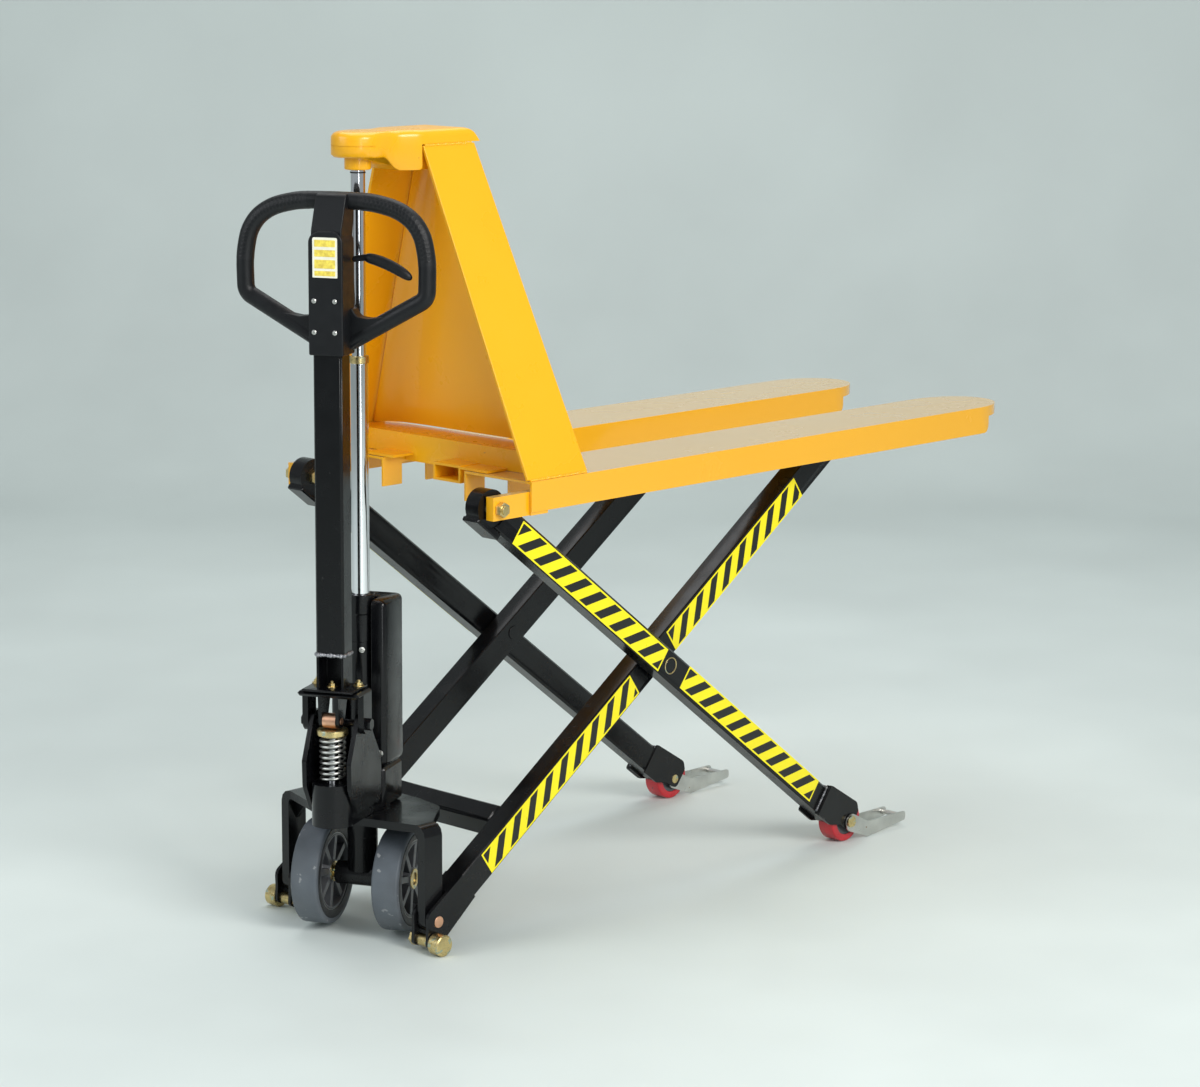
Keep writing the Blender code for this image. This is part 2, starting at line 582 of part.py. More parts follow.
# ---------------------------------------------------------------- outer arms
def outer_arms():
    """Arm tubes with a bushing on the upper end and the load roller's bracket on the lower end."""
    depth = ARM_HALF_DEPTH
    y_in, y_out = OUTER_ARM_Y
    top = -OUTER_UPPER
    low = OUTER_LOWER
    wheel = 0.040
    inner_cheek = (0.1945, 0.1990)
    outer_cheek = (0.2396, 0.2450)
    cheek = rounded([(low - 0.088, -0.031, 0.004), (low - 0.088, 0.031, 0.004), (low, 0.040, 0.012),
                     (low + 0.014, 0.028, 0.008), (low + 0.014, -0.014, 0.010), (low - 0.020, -0.018, 0.010),
                     (low - 0.045, -0.031, 0.006)])
    for side, label in SIDES:
        arm = block(outer, (top - 0.004, min(side * y_in, side * y_out), -depth),
                    (low - 0.020, max(side * y_in, side * y_out), depth), 0.004)
        cut(arm, block(outer, (top + 0.045, min(side * (y_in + WALL), side * (y_out - WALL)), WALL - depth),
                       (low, max(side * (y_in + WALL), side * (y_out - WALL)), depth - WALL)))
        cut(arm, cross_rod(outer, low, 0, side * 0.18, side * 0.26, wheel + 0.003, 28))
        join(arm, block(outer, (top - 0.016, min(side * y_in, side * y_out), -0.0365),
                        (top + 0.045, max(side * y_in, side * y_out), -0.024), 0.002))
        join(arm, cross_rod(outer, top, 0, side * 0.203, side * 0.233, 0.031, 28))
        cut(arm, cross_rod(outer, top, 0, side * 0.233, side * 0.260, 0.0335, 28))
        cut(arm, cross_rod(outer, top, 0, side * 0.180, side * 0.203, 0.0335, 28))
        join(arm, side_plate(outer, cheek, side * inner_cheek[0], side * inner_cheek[1]))
        join(arm, side_plate(outer, cheek, side * outer_cheek[0], side * outer_cheek[1]))
        spacer_y = sorted((side * (y_out - 0.002), side * (outer_cheek[1] - 0.001)))
        join(arm, block(outer, (low - 0.087, spacer_y[0], -0.030), (low - 0.046, spacer_y[1], 0.030)))
        for x, radius in ((top, 0.0083), (0.0, 0.0128), (low, 0.0088)):
            cut(arm, cross_rod(outer, x, 0, side * 0.18, side * 0.26, radius, 16))
        make(f"outer_arm_{label}", arm, BLACK)

        axle = cross_rod(outer, low, 0, side * 0.1943, side * 0.2535, 0.0085, 24)
        join(axle, cross_rod(outer, low, 0, side * 0.2500, side * 0.2538, 0.0112, 24))
        make(f"load_axle_{label}", axle, ZINC)

        width = 0.0180
        profile = [(wheel - 0.003, width), (wheel, width - 0.003), (wheel, 0.003 - width),
                   (wheel - 0.003, -width), (0.0088, -width), (0.0088, width)]
        make(f"load_roller_{label}",
             turned(outer, profile, 40, (low, side * 0.2209, 0), along_y=True), RED)


def entry_links():
    """Bent links on the load axles that climb pallet boards, joined at the tip by a pin."""
    low = Vector((top_bolt_axis.x + (OUTER_UPPER + OUTER_LOWER) * math.cos(OUTER_ANGLE), 0.0,
                  top_bolt_axis.z - (OUTER_UPPER + OUTER_LOWER) * math.sin(OUTER_ANGLE)))
    knee = low.x + 0.048
    tip = low.x + 0.165
    outline = rounded([(low.x - 0.014, low.z + 0.004, 0.012), (low.x + 0.004, low.z + 0.015, 0.012),
                       (knee + 0.006, 0.0300, 0.02), (tip, 0.0290, 0.006), (tip, 0.0120, 0.006),
                       (knee + 0.004, 0.0006, 0.01), (low.x - 0.008, low.z - 0.017, 0.012)])
    for side, label in SIDES:
        link = side_plate(ram_axis, outline, side * 0.2464, side * 0.2494)
        join(link, side_plate(ram_axis, outline, side * 0.1996, side * 0.2024))
        join(link, cross_rod(ram_axis, tip - 0.010, 0.0205, side * 0.2000, side * 0.2490, 0.0050, 20))
        cut(link, cross_rod(ram_axis, low.x, low.z, side * 0.18, side * 0.26, 0.0088, 20))
        make(f"entry_link_{label}", link, BARE)


# ---------------------------------------------------------------- fork frame
def fork_outline(inset, rear):
    """Plan of one fork ahead of its rear edge: straight sides and a half ellipse at the nose."""
    middle = (FORK_Y[0] + FORK_Y[1]) / 2
    half = (FORK_Y[1] - FORK_Y[0]) / 2 - inset
    nose = FORK_TIP - NOSE_START - inset
    outline = [(rear, middle - half)]
    steps = 14
    for step in range(steps + 1):
        angle = math.pi * (step / steps - 0.5)
        outline.append((NOSE_START + nose * math.cos(angle), middle + half * math.sin(angle)))
    return outline + [(rear, middle + half)]


def fork_pair():
    """Channel-shaped forks with the lug for the top bolt welded inside the outer skirt."""
    notch = [(0.190, FORK_BOTTOM - 0.02), (0.190, 0.775), (0.248, 0.775), (0.248, FORK_BOTTOM - 0.02)]
    nose_cut = rounded([(NOSE_START, FORK_BOTTOM - 0.03), (NOSE_START, FORK_BOTTOM - 0.0001),
                        (SKIRT_END, FORK_BOTTOM, 0.020), (SKIRT_END, 0.768), (FORK_TIP + 0.03, 0.768),
                        (FORK_TIP + 0.03, FORK_BOTTOM - 0.03)])
    for side, label in SIDES:
        plan = [(x, side * y) for x, y in fork_outline(0.0, LOAD_START)]
        pocket = [(x, side * y) for x, y in fork_outline(WALL, FORK_REAR - 0.05)]
        rear = [(x, side * y) for x, y in ((FORK_REAR, FORK_Y[0]), (LOAD_START, FORK_Y[0]),
                                           (LOAD_START, FORK_Y[1]), (FORK_REAR, FORK_Y[1]))]
        fork = flat_plate(forks, plan, FORK_BOTTOM, FORK_TOP)
        join(fork, flat_plate(forks, rear, FORK_BOTTOM, FORK_TOP - MAST_SEAT_DROP))
        cut(fork, flat_plate(forks, pocket, FORK_BOTTOM - 0.05, FORK_TOP - WALL))
        cut(fork, side_plate(forks, notch, side * 0.08, side * 0.13))
        cut(fork, side_plate(forks, nose_cut, side * 0.08, side * 0.28))
        lug = [(0.063, side * 0.236), (0.063, side * 0.253), (FORK_REAR + 0.001, side * 0.253),
               (FORK_REAR + 0.001, side * 0.2575), (0.186, side * 0.2575), (0.186, side * 0.236)]
        join(fork, flat_plate(forks, lug, 0.7315, 0.771))
        cut(fork, cross_rod(forks, top_bolt_axis.x, top_bolt_axis.z, side * 0.22, side * 0.28, 0.0083))
        make(f"fork_{label}", fork, YELLOW)

        x, z = top_bolt_axis.x, top_bolt_axis.z
        bolt = cross_rod(forks, x, z, side * 0.1945, side * 0.2680, 0.0080, 24)
        join(bolt, cross_rod(forks, x, z, side * 0.1945, side * 0.2025, 0.0135, 6))
        join(bolt, cross_rod(forks, x, z, side * 0.2334, side * 0.2356, 0.0150, 24))
        join(bolt, cross_rod(forks, x, z, side * 0.2534, side * 0.2640, 0.0130, 6))
        make(f"top_bolt_{label}", bolt, ZINC)


def mast():
    """Leaning side plates and the curved panel that closes the front between them."""
    bottom = FORK_TOP + 2 * GAP
    slope = math.hypot(1.0, MAST_LEAN)
    lift = MAST_SHEET * MAST_LEAN / slope       # keeps the sheet's lower corner above the fork
    rise = (MAST_TOP - bottom - 1.6 * lift) * slope
    outline = [(mast_edge(MAST_REAR, bottom), 0.0), (mast_edge(MAST_FRONT, bottom), 0.0),
               (MAST_FRONT[0], rise), (MAST_REAR[0], rise)]
    for side, label in SIDES:
        up = Vector((0.0, -side * MAST_LEAN, 1.0)) / slope
        away = Vector((1, 0, 0)).cross(up)
        inward = away * (1 if away.y * side < 0 else -1)
        foot = Vector((0.0, side * mast_half_width(bottom), bottom)) + inward * (MAST_SHEET / 2)
        foot.z += lift
        place = Matrix((
            (1, up.x, away.x, foot.x), (0, up.y, away.y, foot.y), (0, up.z, away.z, foot.z), (0, 0, 0, 1)))
        make(f"mast_plate_{label}", extruded(forks, outline, MAST_SHEET, place), YELLOW)

    form = bmesh.new()
    rows, columns = 5, 19
    low, high = 0.8285, 1.2880
    setback = 0.030
    grid = []
    for row in range(rows):
        height = low + (high - low) * row / (rows - 1)
        half = mast_half_width(height) - MAST_SHEET * slope - 0.0045
        ahead = mast_edge(MAST_FRONT, height) - 0.004
        line = []
        for column in range(columns):
            across = -1 + 2 * column / (columns - 1)
            across = math.sin(across * math.pi / 2)
            line.append(form.verts.new((ahead - setback * abs(across) ** 7, half * across, height)))
        grid.append(line)
    for lower, upper in zip(grid, grid[1:]):
        for a, b, c, d in zip(lower, lower[1:], upper[1:], upper):
            form.faces.new((a, b, c, d))
    mesh = bpy.data.meshes.new("panel")
    form.to_mesh(mesh)
    form.free()
    panel = shape(mesh, forks, smooth=True)
    shell = panel.modifiers.new("sheet", "SOLIDIFY")
    shell.thickness = 0.004
    shell.offset = 0.0
    make("mast_panel", panel, YELLOW)


def cross_beam():
    """Beam between the forks with a ledge under the panel and a short channel below."""
    low, high = FORK_TOP + 2 * GAP, 0.8250
    inside = MAST_SHEET * math.hypot(1.0, MAST_LEAN) + 0.0010
    low_half, high_half = mast_half_width(low) - inside, mast_half_width(high) - inside
    outline = [(-low_half, low), (low_half, low), (high_half, high), (-high_half, high)]
    beam = end_plate(forks, outline, 0.197, 0.203)
    ledge_half = high_half - 0.001
    join(beam, block(forks, (0.198, -ledge_half, high - 0.005), (0.276, ledge_half, high)))
    join(beam, block(forks, (0.1972, -0.0985, 0.778), (0.2028, 0.0985, low + 0.002)))
    for side, _ in SIDES:
        shelf = sorted((side * 0.080, side * 0.150))
        join(beam, block(forks, (0.150, shelf[0], low), (0.199, shelf[1], low + 0.004)))
    join(beam, block(forks, (0.150, -0.085, 0.764), (0.199, -0.020, 0.794)))
    cut(beam, block(forks, (0.140, -0.081, 0.768), (0.1965, -0.024, 0.790)))
    make("cross_beam", beam, YELLOW)


def head_arm():
    """Arm that carries the mast on the ram's rod."""
    high = 1.358
    split = MAST_TOP + 2 * GAP
    boss = 0.022
    half = [(-0.044, 0.044, 0.043), (0.052, 0.036, 0.03), (0.094, 0.056, 0.03), (0.226, 0.056, 0.020)]
    top = rounded(half + [(x, -y, bend) for x, y, bend in reversed(half)], steps=5)
    arm = bevel(flat_plate(forks, top, split, high), 0.009, 2, 60)
    rear = rounded([(-0.044, 0.044, 0.043), (0.052, 0.036, 0.03), (0.0935, 0.052),
                    (0.0935, -0.052), (0.052, -0.036, 0.03), (-0.044, -0.044, 0.043)], steps=5)
    join(arm, flat_plate(forks, rear, 1.316, split + 0.012))
    join(arm, block(forks, (0.060, -0.0455, 1.2915), (0.205, 0.0455, split + 0.010), 0.004))
    join(arm, rod(forks, (0, 0, HEAD_BOTTOM), (0, 0, 1.340), boss, 28))
    make("head_arm", arm, YELLOW)
    make("second_stage_rod",
         rod(forks, (0, 0, 0.900), (0, 0, HEAD_BOTTOM - GAP), ROD_RADIUS, 32), CHROME)


portal_frame()
pump_body()
ear_plates()
ram_parts()
oil_reservoir()
steer_wheels()
pump_parts()
handle_yoke()
handle_shaft()
handle_head()
finger_lever()
inner_arms()
outer_arms()
entry_links()
fork_pair()
mast()
cross_beam()
head_arm()
bpy.context.view_layer.update()
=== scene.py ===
"""Looks of the high-lift scissor pallet truck: finishes, fine shapes, labels, studio and camera.

Lengths are in metres, in the frame of the CAD model. Each CAD solid is replaced by a copy with
broken edges and smooth round faces, or by a finer piece of its own, and rides on the same body.
"""
import json
import math

import bmesh
import bpy
from mathutils import Matrix, Vector


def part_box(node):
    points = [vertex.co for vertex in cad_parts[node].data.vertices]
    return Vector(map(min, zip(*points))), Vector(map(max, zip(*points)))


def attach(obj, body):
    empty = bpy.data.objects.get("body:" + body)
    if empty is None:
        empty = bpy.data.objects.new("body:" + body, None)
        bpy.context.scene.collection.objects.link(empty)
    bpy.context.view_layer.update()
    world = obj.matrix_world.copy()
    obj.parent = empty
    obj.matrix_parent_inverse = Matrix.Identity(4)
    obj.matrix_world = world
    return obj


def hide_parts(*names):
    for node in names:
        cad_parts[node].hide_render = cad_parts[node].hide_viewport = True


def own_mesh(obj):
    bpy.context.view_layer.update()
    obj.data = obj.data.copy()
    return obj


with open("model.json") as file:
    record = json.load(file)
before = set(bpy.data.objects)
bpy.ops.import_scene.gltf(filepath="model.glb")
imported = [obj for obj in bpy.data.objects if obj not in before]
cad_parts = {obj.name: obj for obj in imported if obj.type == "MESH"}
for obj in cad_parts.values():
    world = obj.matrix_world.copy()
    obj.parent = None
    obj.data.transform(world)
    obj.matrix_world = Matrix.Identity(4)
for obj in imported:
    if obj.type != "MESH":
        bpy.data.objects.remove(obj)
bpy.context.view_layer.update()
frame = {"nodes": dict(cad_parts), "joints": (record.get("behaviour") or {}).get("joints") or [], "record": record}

NODES = frame["nodes"]
JOINTS = {joint["name"]: joint for joint in frame["joints"]}
BODY = {node: body for body, nodes in frame["record"]["behaviour"]["bodies"].items()
        for node in nodes}
SLOT = {part["node"]: part["material_slot"] for part in frame["record"]["subparts"]}
SIDES = ((1, "left"), (-1, "right"))
WASHER = 0.0016                  # thickness of a bolt's washer


def spot(joint):
    """Where a joint's axis stands at rest."""
    return Vector(JOINTS[joint]["pos_m"])


# ---------------------------------------------------------------- places taken from the frame
RAM = Vector((spot("steer").x, spot("steer").y, 0.0))
steer_axle = Vector(JOINTS["wheel_left_spin"]["axis"])
TURRET = Matrix.Translation(RAM) @ Matrix.Rotation(math.atan2(-steer_axle.x, steer_axle.y), 4, "Z")
TRUCK = Matrix.Translation(RAM)


def arm_frame(start, end, origin):
    """Frame at a pin whose X runs along an arm."""
    run = spot(end) - spot(start)
    angle = math.atan2(run.z, run.x)
    return Matrix.Translation(spot(origin)) @ Matrix.Rotation(-angle, 4, "Y")


INNER = arm_frame("scissor_lift", "scissor_cross", "scissor_lift")
OUTER = arm_frame("fork_level", "scissor_cross", "scissor_cross")


# ---------------------------------------------------------------- camera
def studio_camera():
    """Three-quarter view from behind on the right, at the height of a standing person."""
    reach = Vector((-3.7638, -4.1190, 1.7199))
    heading, down, roll = 0.7584, 0.18607, 0.00605
    ahead = Vector((math.cos(down) * math.cos(heading), math.cos(down) * math.sin(heading),
                    -math.sin(down)))
    right = Vector((math.sin(heading), -math.cos(heading), 0.0))
    up = right.cross(ahead)
    level = right * math.cos(roll) + up * math.sin(roll)
    upright = up * math.cos(roll) - right * math.sin(roll)
    camera = bpy.data.objects.new("camera", bpy.data.cameras.new("camera"))
    turn = Matrix((level, upright, -ahead)).transposed().to_4x4()
    camera.matrix_world = Matrix.Translation(RAM + reach) @ turn
    camera.data.sensor_width = 36.0
    camera.data.lens = 101.33
    camera.data.clip_end = 60.0
    bpy.context.scene.collection.objects.link(camera)
    bpy.context.scene.camera = camera


# ---------------------------------------------------------------- materials
def finish(name, colour, roughness, metallic=0.0, mottle=0.10, mottle_scale=5.0, grain=0.02,
           grain_scale=600.0, rough_spread=0.08, coat=0.0, gloss=0.5, specks=None, dust=None,
           stretch=None, painted_top_shade=None):
    """Principled material with mottled colour, uneven gloss and fine grain.

    specks is (colour, amount, scale), dust is (colour, height, amount) for what settles low down, and the last
    argument is (colour, amount) for painted shade: faces that look up are mixed towards that duller, darker
    colour.
    """
    material = bpy.data.materials.new(name)
    material.use_nodes = True
    tree = material.node_tree
    nodes, links = tree.nodes, tree.links
    shader = nodes["Principled BSDF"]
    shader.inputs["Metallic"].default_value = metallic
    shader.inputs["Coat Weight"].default_value = coat
    shader.inputs["Coat Roughness"].default_value = 0.08
    shader.inputs["Specular IOR Level"].default_value = gloss
    place = nodes.new("ShaderNodeTexCoord")
    mapping = nodes.new("ShaderNodeMapping")
    mapping.inputs["Scale"].default_value = stretch or (1.0, 1.0, 1.0)
    links.new(place.outputs["Object"], mapping.inputs["Vector"])

    def noise(scale, detail=4.0):
        texture = nodes.new("ShaderNodeTexNoise")
        texture.inputs["Scale"].default_value = scale
        texture.inputs["Detail"].default_value = detail
        links.new(mapping.outputs["Vector"], texture.inputs["Vector"])
        return texture.outputs["Fac"]

    def ramp(value, low, high):
        node = nodes.new("ShaderNodeMapRange")
        node.inputs["From Min"].default_value = low
        node.inputs["From Max"].default_value = high
        links.new(value, node.inputs["Value"])
        return node.outputs["Result"]

    def times(a, b):
        node = nodes.new("ShaderNodeMath")
        node.operation = "MULTIPLY"
        links.new(a, node.inputs[0])
        if isinstance(b, float):
            node.inputs[1].default_value = b
        else:
            links.new(b, node.inputs[1])
        return node.outputs[0]

    def mixed(amount, under, over):
        node = nodes.new("ShaderNodeMix")
        node.data_type = "RGBA"
        links.new(amount, node.inputs["Factor"])
        for key, value in (("A", under), ("B", over)):
            socket = [s for s in node.inputs if s.name == key and s.type == "RGBA"][0]
            if isinstance(value, tuple):
                socket.default_value = (*value, 1.0)
            else:
                links.new(value, socket)
        return [s for s in node.outputs if s.type == "RGBA"][0]

    dark = tuple(c * (1.0 - mottle) for c in colour)
    light = tuple(min(1.0, c * (1.0 + mottle)) for c in colour)
    tint = mixed(ramp(noise(mottle_scale), 0.3, 0.7), dark, light)
    rough = ramp(noise(mottle_scale * 4.0), 0.25, 0.75)
    span = nodes.new("ShaderNodeMapRange")
    span.inputs["To Min"].default_value = max(0.02, roughness - rough_spread)
    span.inputs["To Max"].default_value = min(1.0, roughness + rough_spread)
    links.new(rough, span.inputs["Value"])
    if specks:
        speck_colour, amount, scale = specks
        spots = ramp(noise(scale, 2.0), 0.72 - amount, 0.76 - amount)
        tint = mixed(spots, tint, speck_colour)
    # painted shade: faces that look up are mixed towards a duller, darker colour
    if painted_top_shade:
        top_shade_colour, amount = painted_top_shade
        normal = nodes.new("ShaderNodeNewGeometry")
        split = nodes.new("ShaderNodeSeparateXYZ")
        links.new(normal.outputs["Normal"], split.inputs[0])
        top_shade_mask = times(ramp(split.outputs["Z"], 0.80, 0.99), float(amount))
        tint = mixed(top_shade_mask, tint, top_shade_colour)
    if dust:
        dust_colour, height, amount = dust
        split = nodes.new("ShaderNodeSeparateXYZ")
        links.new(place.outputs["Object"], split.inputs[0])
        low = ramp(split.outputs["Z"], height, 0.0)
        settled = times(times(low, ramp(noise(14.0), 0.3, 0.75)), float(amount))
        tint = mixed(settled, tint, dust_colour)
    links.new(tint, shader.inputs["Base Color"])
    links.new(span.outputs["Result"], shader.inputs["Roughness"])
    bump = nodes.new("ShaderNodeBump")
    bump.inputs["Strength"].default_value = grain
    bump.inputs["Distance"].default_value = 0.002
    links.new(noise(grain_scale, 3.0), bump.inputs["Height"])
    links.new(bump.outputs["Normal"], shader.inputs["Normal"])
    return material


GREY_DUST = (0.30, 0.29, 0.27)
YELLOW = (0.93, 0.445, 0.006)
PLASTIC = (0.0048, 0.0055, 0.0068)
MATERIALS = {
    "yellow_paint": finish("yellow_enamel", YELLOW, 0.30, mottle=0.03, mottle_scale=3.0, grain=0.05,
                           grain_scale=260.0, coat=0.15, gloss=0.45,
                           specks=((0.40, 0.20, 0.02), -0.05, 45.0)),
    "black_paint": finish("black_enamel", (0.0026, 0.0028, 0.0035), 0.24, mottle=0.30,
                          mottle_scale=7.0, grain=0.05, grain_scale=320.0, coat=0.06, gloss=0.28,
                          specks=((0.04, 0.04, 0.04), -0.03, 120.0), dust=(GREY_DUST, 0.30, 0.03)),
    "black_plastic": finish("black_moulding", PLASTIC, 0.42, mottle=0.18,
                            mottle_scale=18.0, grain=0.12, grain_scale=1400.0, gloss=0.30),
    "hard_chrome": finish("hard_chrome", (0.80, 0.81, 0.83), 0.10, 1.0, mottle=0.03, grain=0.01,
                          grain_scale=500.0, rough_spread=0.03, stretch=(1.0, 1.0, 0.2)),
    "yellow_zinc": finish("yellow_zinc", (0.66, 0.52, 0.24), 0.30, 1.0, mottle=0.22,
                          mottle_scale=45.0, grain=0.05, grain_scale=500.0,
                          specks=((0.45, 0.50, 0.38), 0.12, 90.0)),
    "copper_plate": finish("copper_plate", (0.74, 0.42, 0.27), 0.36, 1.0, mottle=0.18,
                           mottle_scale=60.0, grain=0.06, grain_scale=700.0),
    "bright_zinc": finish("bright_zinc", (0.60, 0.60, 0.57), 0.34, 1.0, mottle=0.14,
                          mottle_scale=30.0, grain=0.06, grain_scale=450.0,
                          specks=((0.36, 0.27, 0.18), 0.03, 60.0)),
    "grey_tyre": finish("tyre_tread", (0.085, 0.100, 0.118), 0.62, mottle=0.16, mottle_scale=25.0,
                        grain=0.20, grain_scale=260.0, specks=((0.24, 0.25, 0.26), 0.05, 70.0),
                        dust=(GREY_DUST, 0.20, 0.18)),
    "dark_hub": finish("hub_casting", (0.085, 0.090, 0.098), 0.38, 0.35, mottle=0.25,
                       mottle_scale=40.0, grain=0.22, grain_scale=420.0,
                       dust=(GREY_DUST, 0.2, 0.15)),
    "red_polyurethane": finish("red_polyurethane", (0.50, 0.012, 0.022), 0.34, mottle=0.18,
                               mottle_scale=30.0, grain=0.08, grain_scale=350.0, coat=0.2,
                               specks=((0.16, 0.02, 0.03), 0.03, 80.0)),
}
# the forks' faces that look up get painted shade, a duller and darker yellow
FORK_PAINT = finish("yellow_enamel_forks", YELLOW, 0.26, mottle=0.02, mottle_scale=2.0,
                    grain=0.008, grain_scale=160.0, rough_spread=0.03, coat=0.7, gloss=0.6,
                    painted_top_shade=((0.42, 0.43, 0.28), 0.45))
SIDEWALL = finish("tyre_sidewall", (0.012, 0.013, 0.015), 0.50, mottle=0.3, mottle_scale=30.0,
                  grain=0.10, grain_scale=400.0, dust=(GREY_DUST, 0.2, 0.05))
DIMPLED = finish("dimpled_grip", PLASTIC, 0.44, mottle=0.18, mottle_scale=18.0,
                 grain=0.12, grain_scale=1400.0, gloss=0.36)
LEMON = finish("lemon_film", (0.93, 0.80, 0.004), 0.34, mottle=0.03, mottle_scale=12.0, grain=0.02)
STRIPE = finish("stripe_ink", (0.005, 0.0055, 0.004), 0.34, mottle=0.2, mottle_scale=30.0,
                grain=0.02)
AMBER = finish("label_amber", (0.90, 0.66, 0.10), 0.36, mottle=0.25, mottle_scale=160.0,
               grain=0.02)
PAPER = finish("label_paper", (0.86, 0.84, 0.70), 0.40, mottle=0.05, mottle_scale=40.0, grain=0.03)
SCORED = finish("weld_bead", (0.34, 0.34, 0.36), 0.30, 1.0, mottle=0.5, mottle_scale=260.0,
                grain=0.5, grain_scale=900.0)


# ---------------------------------------------------------------- mesh helpers
def piece(name, mesh, body, material, replaces=(), smooth=35):
    """Link a mesh that is already in place, and let it ride on a body."""
    if smooth:
        mesh.shade_smooth()
        mesh.set_sharp_from_angle(angle=math.radians(smooth))
    thing = bpy.data.objects.new(name, mesh)
    bpy.context.scene.collection.objects.link(thing)
    if not mesh.materials:
        mesh.materials.append(material)
    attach(thing, body)
    if replaces:
        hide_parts(*replaces)
    return thing


def broken_edges(thing, width, segments=2, angle=40):
    """Small rounds on the piece's sharp edges."""
    step = thing.modifiers.new("edges", "BEVEL")
    step.width = width
    step.segments = segments
    step.limit_method = "ANGLE"
    step.angle_limit = math.radians(angle)
    step.harden_normals = True
    return thing


def dress(node, material=None, edge=0.0008, segments=2, angle=40, level=0.0):
    """Copy of a CAD solid, welded, with its flat faces made whole and its edges broken.

    level evens out a step of that height just under the solid's top.
    """
    mesh = NODES[node].data.copy()
    form = bmesh.new()
    form.from_mesh(mesh)
    top = max(vert.co.z for vert in form.verts)
    for vert in form.verts:
        if vert.co.z > top - level:
            vert.co.z = top
    bmesh.ops.remove_doubles(form, verts=form.verts, dist=0.00002)
    bmesh.ops.dissolve_limit(form, angle_limit=math.radians(0.6), verts=form.verts,
                             edges=form.edges)
    form.to_mesh(mesh)
    form.free()
    mesh.materials.clear()
    thing = piece(node + "_finish", mesh, BODY[node], material or MATERIALS[SLOT[node]],
                  (node,))
    return broken_edges(thing, edge, segments, angle) if edge else thing


def from_form(name, form, place, body, material, replaces=(), smooth=35):
    """Finish a bmesh: place it, face it outward and make it a piece."""
    bmesh.ops.transform(form, matrix=place, verts=form.verts)
    bmesh.ops.recalc_face_normals(form, faces=form.faces)
    mesh = bpy.data.meshes.new(name)
    form.to_mesh(mesh)
    form.free()
    return piece(name, mesh, body, material, replaces, smooth)


def lathe(profile, steps=64, along="Z"):
    """Closed bmesh of (radius, height) points turned about Z, or about Y."""
    form = bmesh.new()
    rings = []
    for radius, height in profile:
        ring = []
        for step in range(steps):
            turn = 2 * math.pi * step / steps
            ring.append(form.verts.new((radius * math.cos(turn), radius * math.sin(turn), height)))
        rings.append(ring)
    for lower, upper in zip(rings, rings[1:] + rings[:1]):
        for step in range(steps):
            form.faces.new((lower[step], lower[(step + 1) % steps], upper[(step + 1) % steps],
                            upper[step]))
    if along == "Y":
        bmesh.ops.transform(form, matrix=Matrix.Rotation(-math.pi / 2, 4, "X"), verts=form.verts)
    return form


def rounded_profile(corners, steps=5):
    """Profile through (u, v, radius) corners with an arc at each."""
    line = []
    for index, (u, v, bend) in enumerate(corners):
        here = Vector((u, v))
        back = Vector(corners[index - 1][:2]) - here
        ahead = Vector(corners[(index + 1) % len(corners)][:2]) - here
        if bend <= 0:
            line.append(here)
            continue
        half = back.angle(ahead) / 2
        reach = min(bend / math.tan(half), 0.49 * back.length, 0.49 * ahead.length)
        radius = reach * math.tan(half)
        halfway = (back.normalized() + ahead.normalized()).normalized()
        centre = here + halfway * (radius / math.sin(half))
        first = here + back.normalized() * reach - centre
        last = here + ahead.normalized() * reach - centre
        sweep = first.angle_signed(last)
        for step in range(steps + 1):
            line.append(centre + Matrix.Rotation(-sweep * step / steps, 2) @ first)
    return line


def tube(points, radius, closed=False, sides=16):
    """Round bar along a path, as a bmesh; radius may be a function of the share along it."""
    form = bmesh.new()
    count = len(points)
    rings = []
    side = None
    for index, point in enumerate(points):
        before = points[index - 1] if closed or index else point
        after = points[(index + 1) % count] if closed or index < count - 1 else point
        ahead = (after - before).normalized()
        if side is None:
            side = ahead.orthogonal().normalized()
        side = (side - ahead * side.dot(ahead)).normalized()
        other = ahead.cross(side)
        size = radius(index / (count - 1)) if callable(radius) else radius
        ring = []
        for step in range(sides):
            turn = 2 * math.pi * step / sides
            spoke = side * math.cos(turn) + other * math.sin(turn)
            ring.append(form.verts.new(point + spoke * size))
        rings.append(ring)
    pairs = list(zip(rings, rings[1:]))
    if closed:
        shift = min(range(sides), key=lambda k: (rings[0][k].co - rings[-1][0].co).length)
        pairs.append((rings[-1], rings[0][shift:] + rings[0][:shift]))
    for lower, upper in pairs:
        for step in range(sides):
            form.faces.new((lower[step], lower[(step + 1) % sides], upper[(step + 1) % sides],
                            upper[step]))
    if not closed:
        form.faces.new(rings[0][::-1])
        form.faces.new(rings[-1])
    return form


def slab(outline, low, high, plane="XY"):
    """Flat outline made thick, as a bmesh: in XY thick along Z, in YZ along X, in XZ along Y."""
    form = bmesh.new()
    spots = {"XY": lambda u, v, w: (u, v, w), "YZ": lambda u, v, w: (w, u, v),
             "XZ": lambda u, v, w: (u, w, v)}[plane]
    bottom = [form.verts.new(spots(u, v, low)) for u, v in outline]
    top = [form.verts.new(spots(u, v, high)) for u, v in outline]
    form.faces.new(bottom)
    form.faces.new(top)
    count = len(outline)
    for index in range(count):
        after = (index + 1) % count
        form.faces.new((bottom[index], bottom[after], top[after], top[index]))
    return form


def merged(*forms):
    """Several bmeshes as one."""
    whole = forms[0]
    for other in forms[1:]:
        mesh = bpy.data.meshes.new("part")
        other.to_mesh(mesh)
        other.free()
        whole.from_mesh(mesh)
        bpy.data.meshes.remove(mesh)
    return whole


def moved(form, matrix):
    """The same bmesh after a transform."""
    bmesh.ops.transform(form, matrix=matrix, verts=form.verts)
    return form


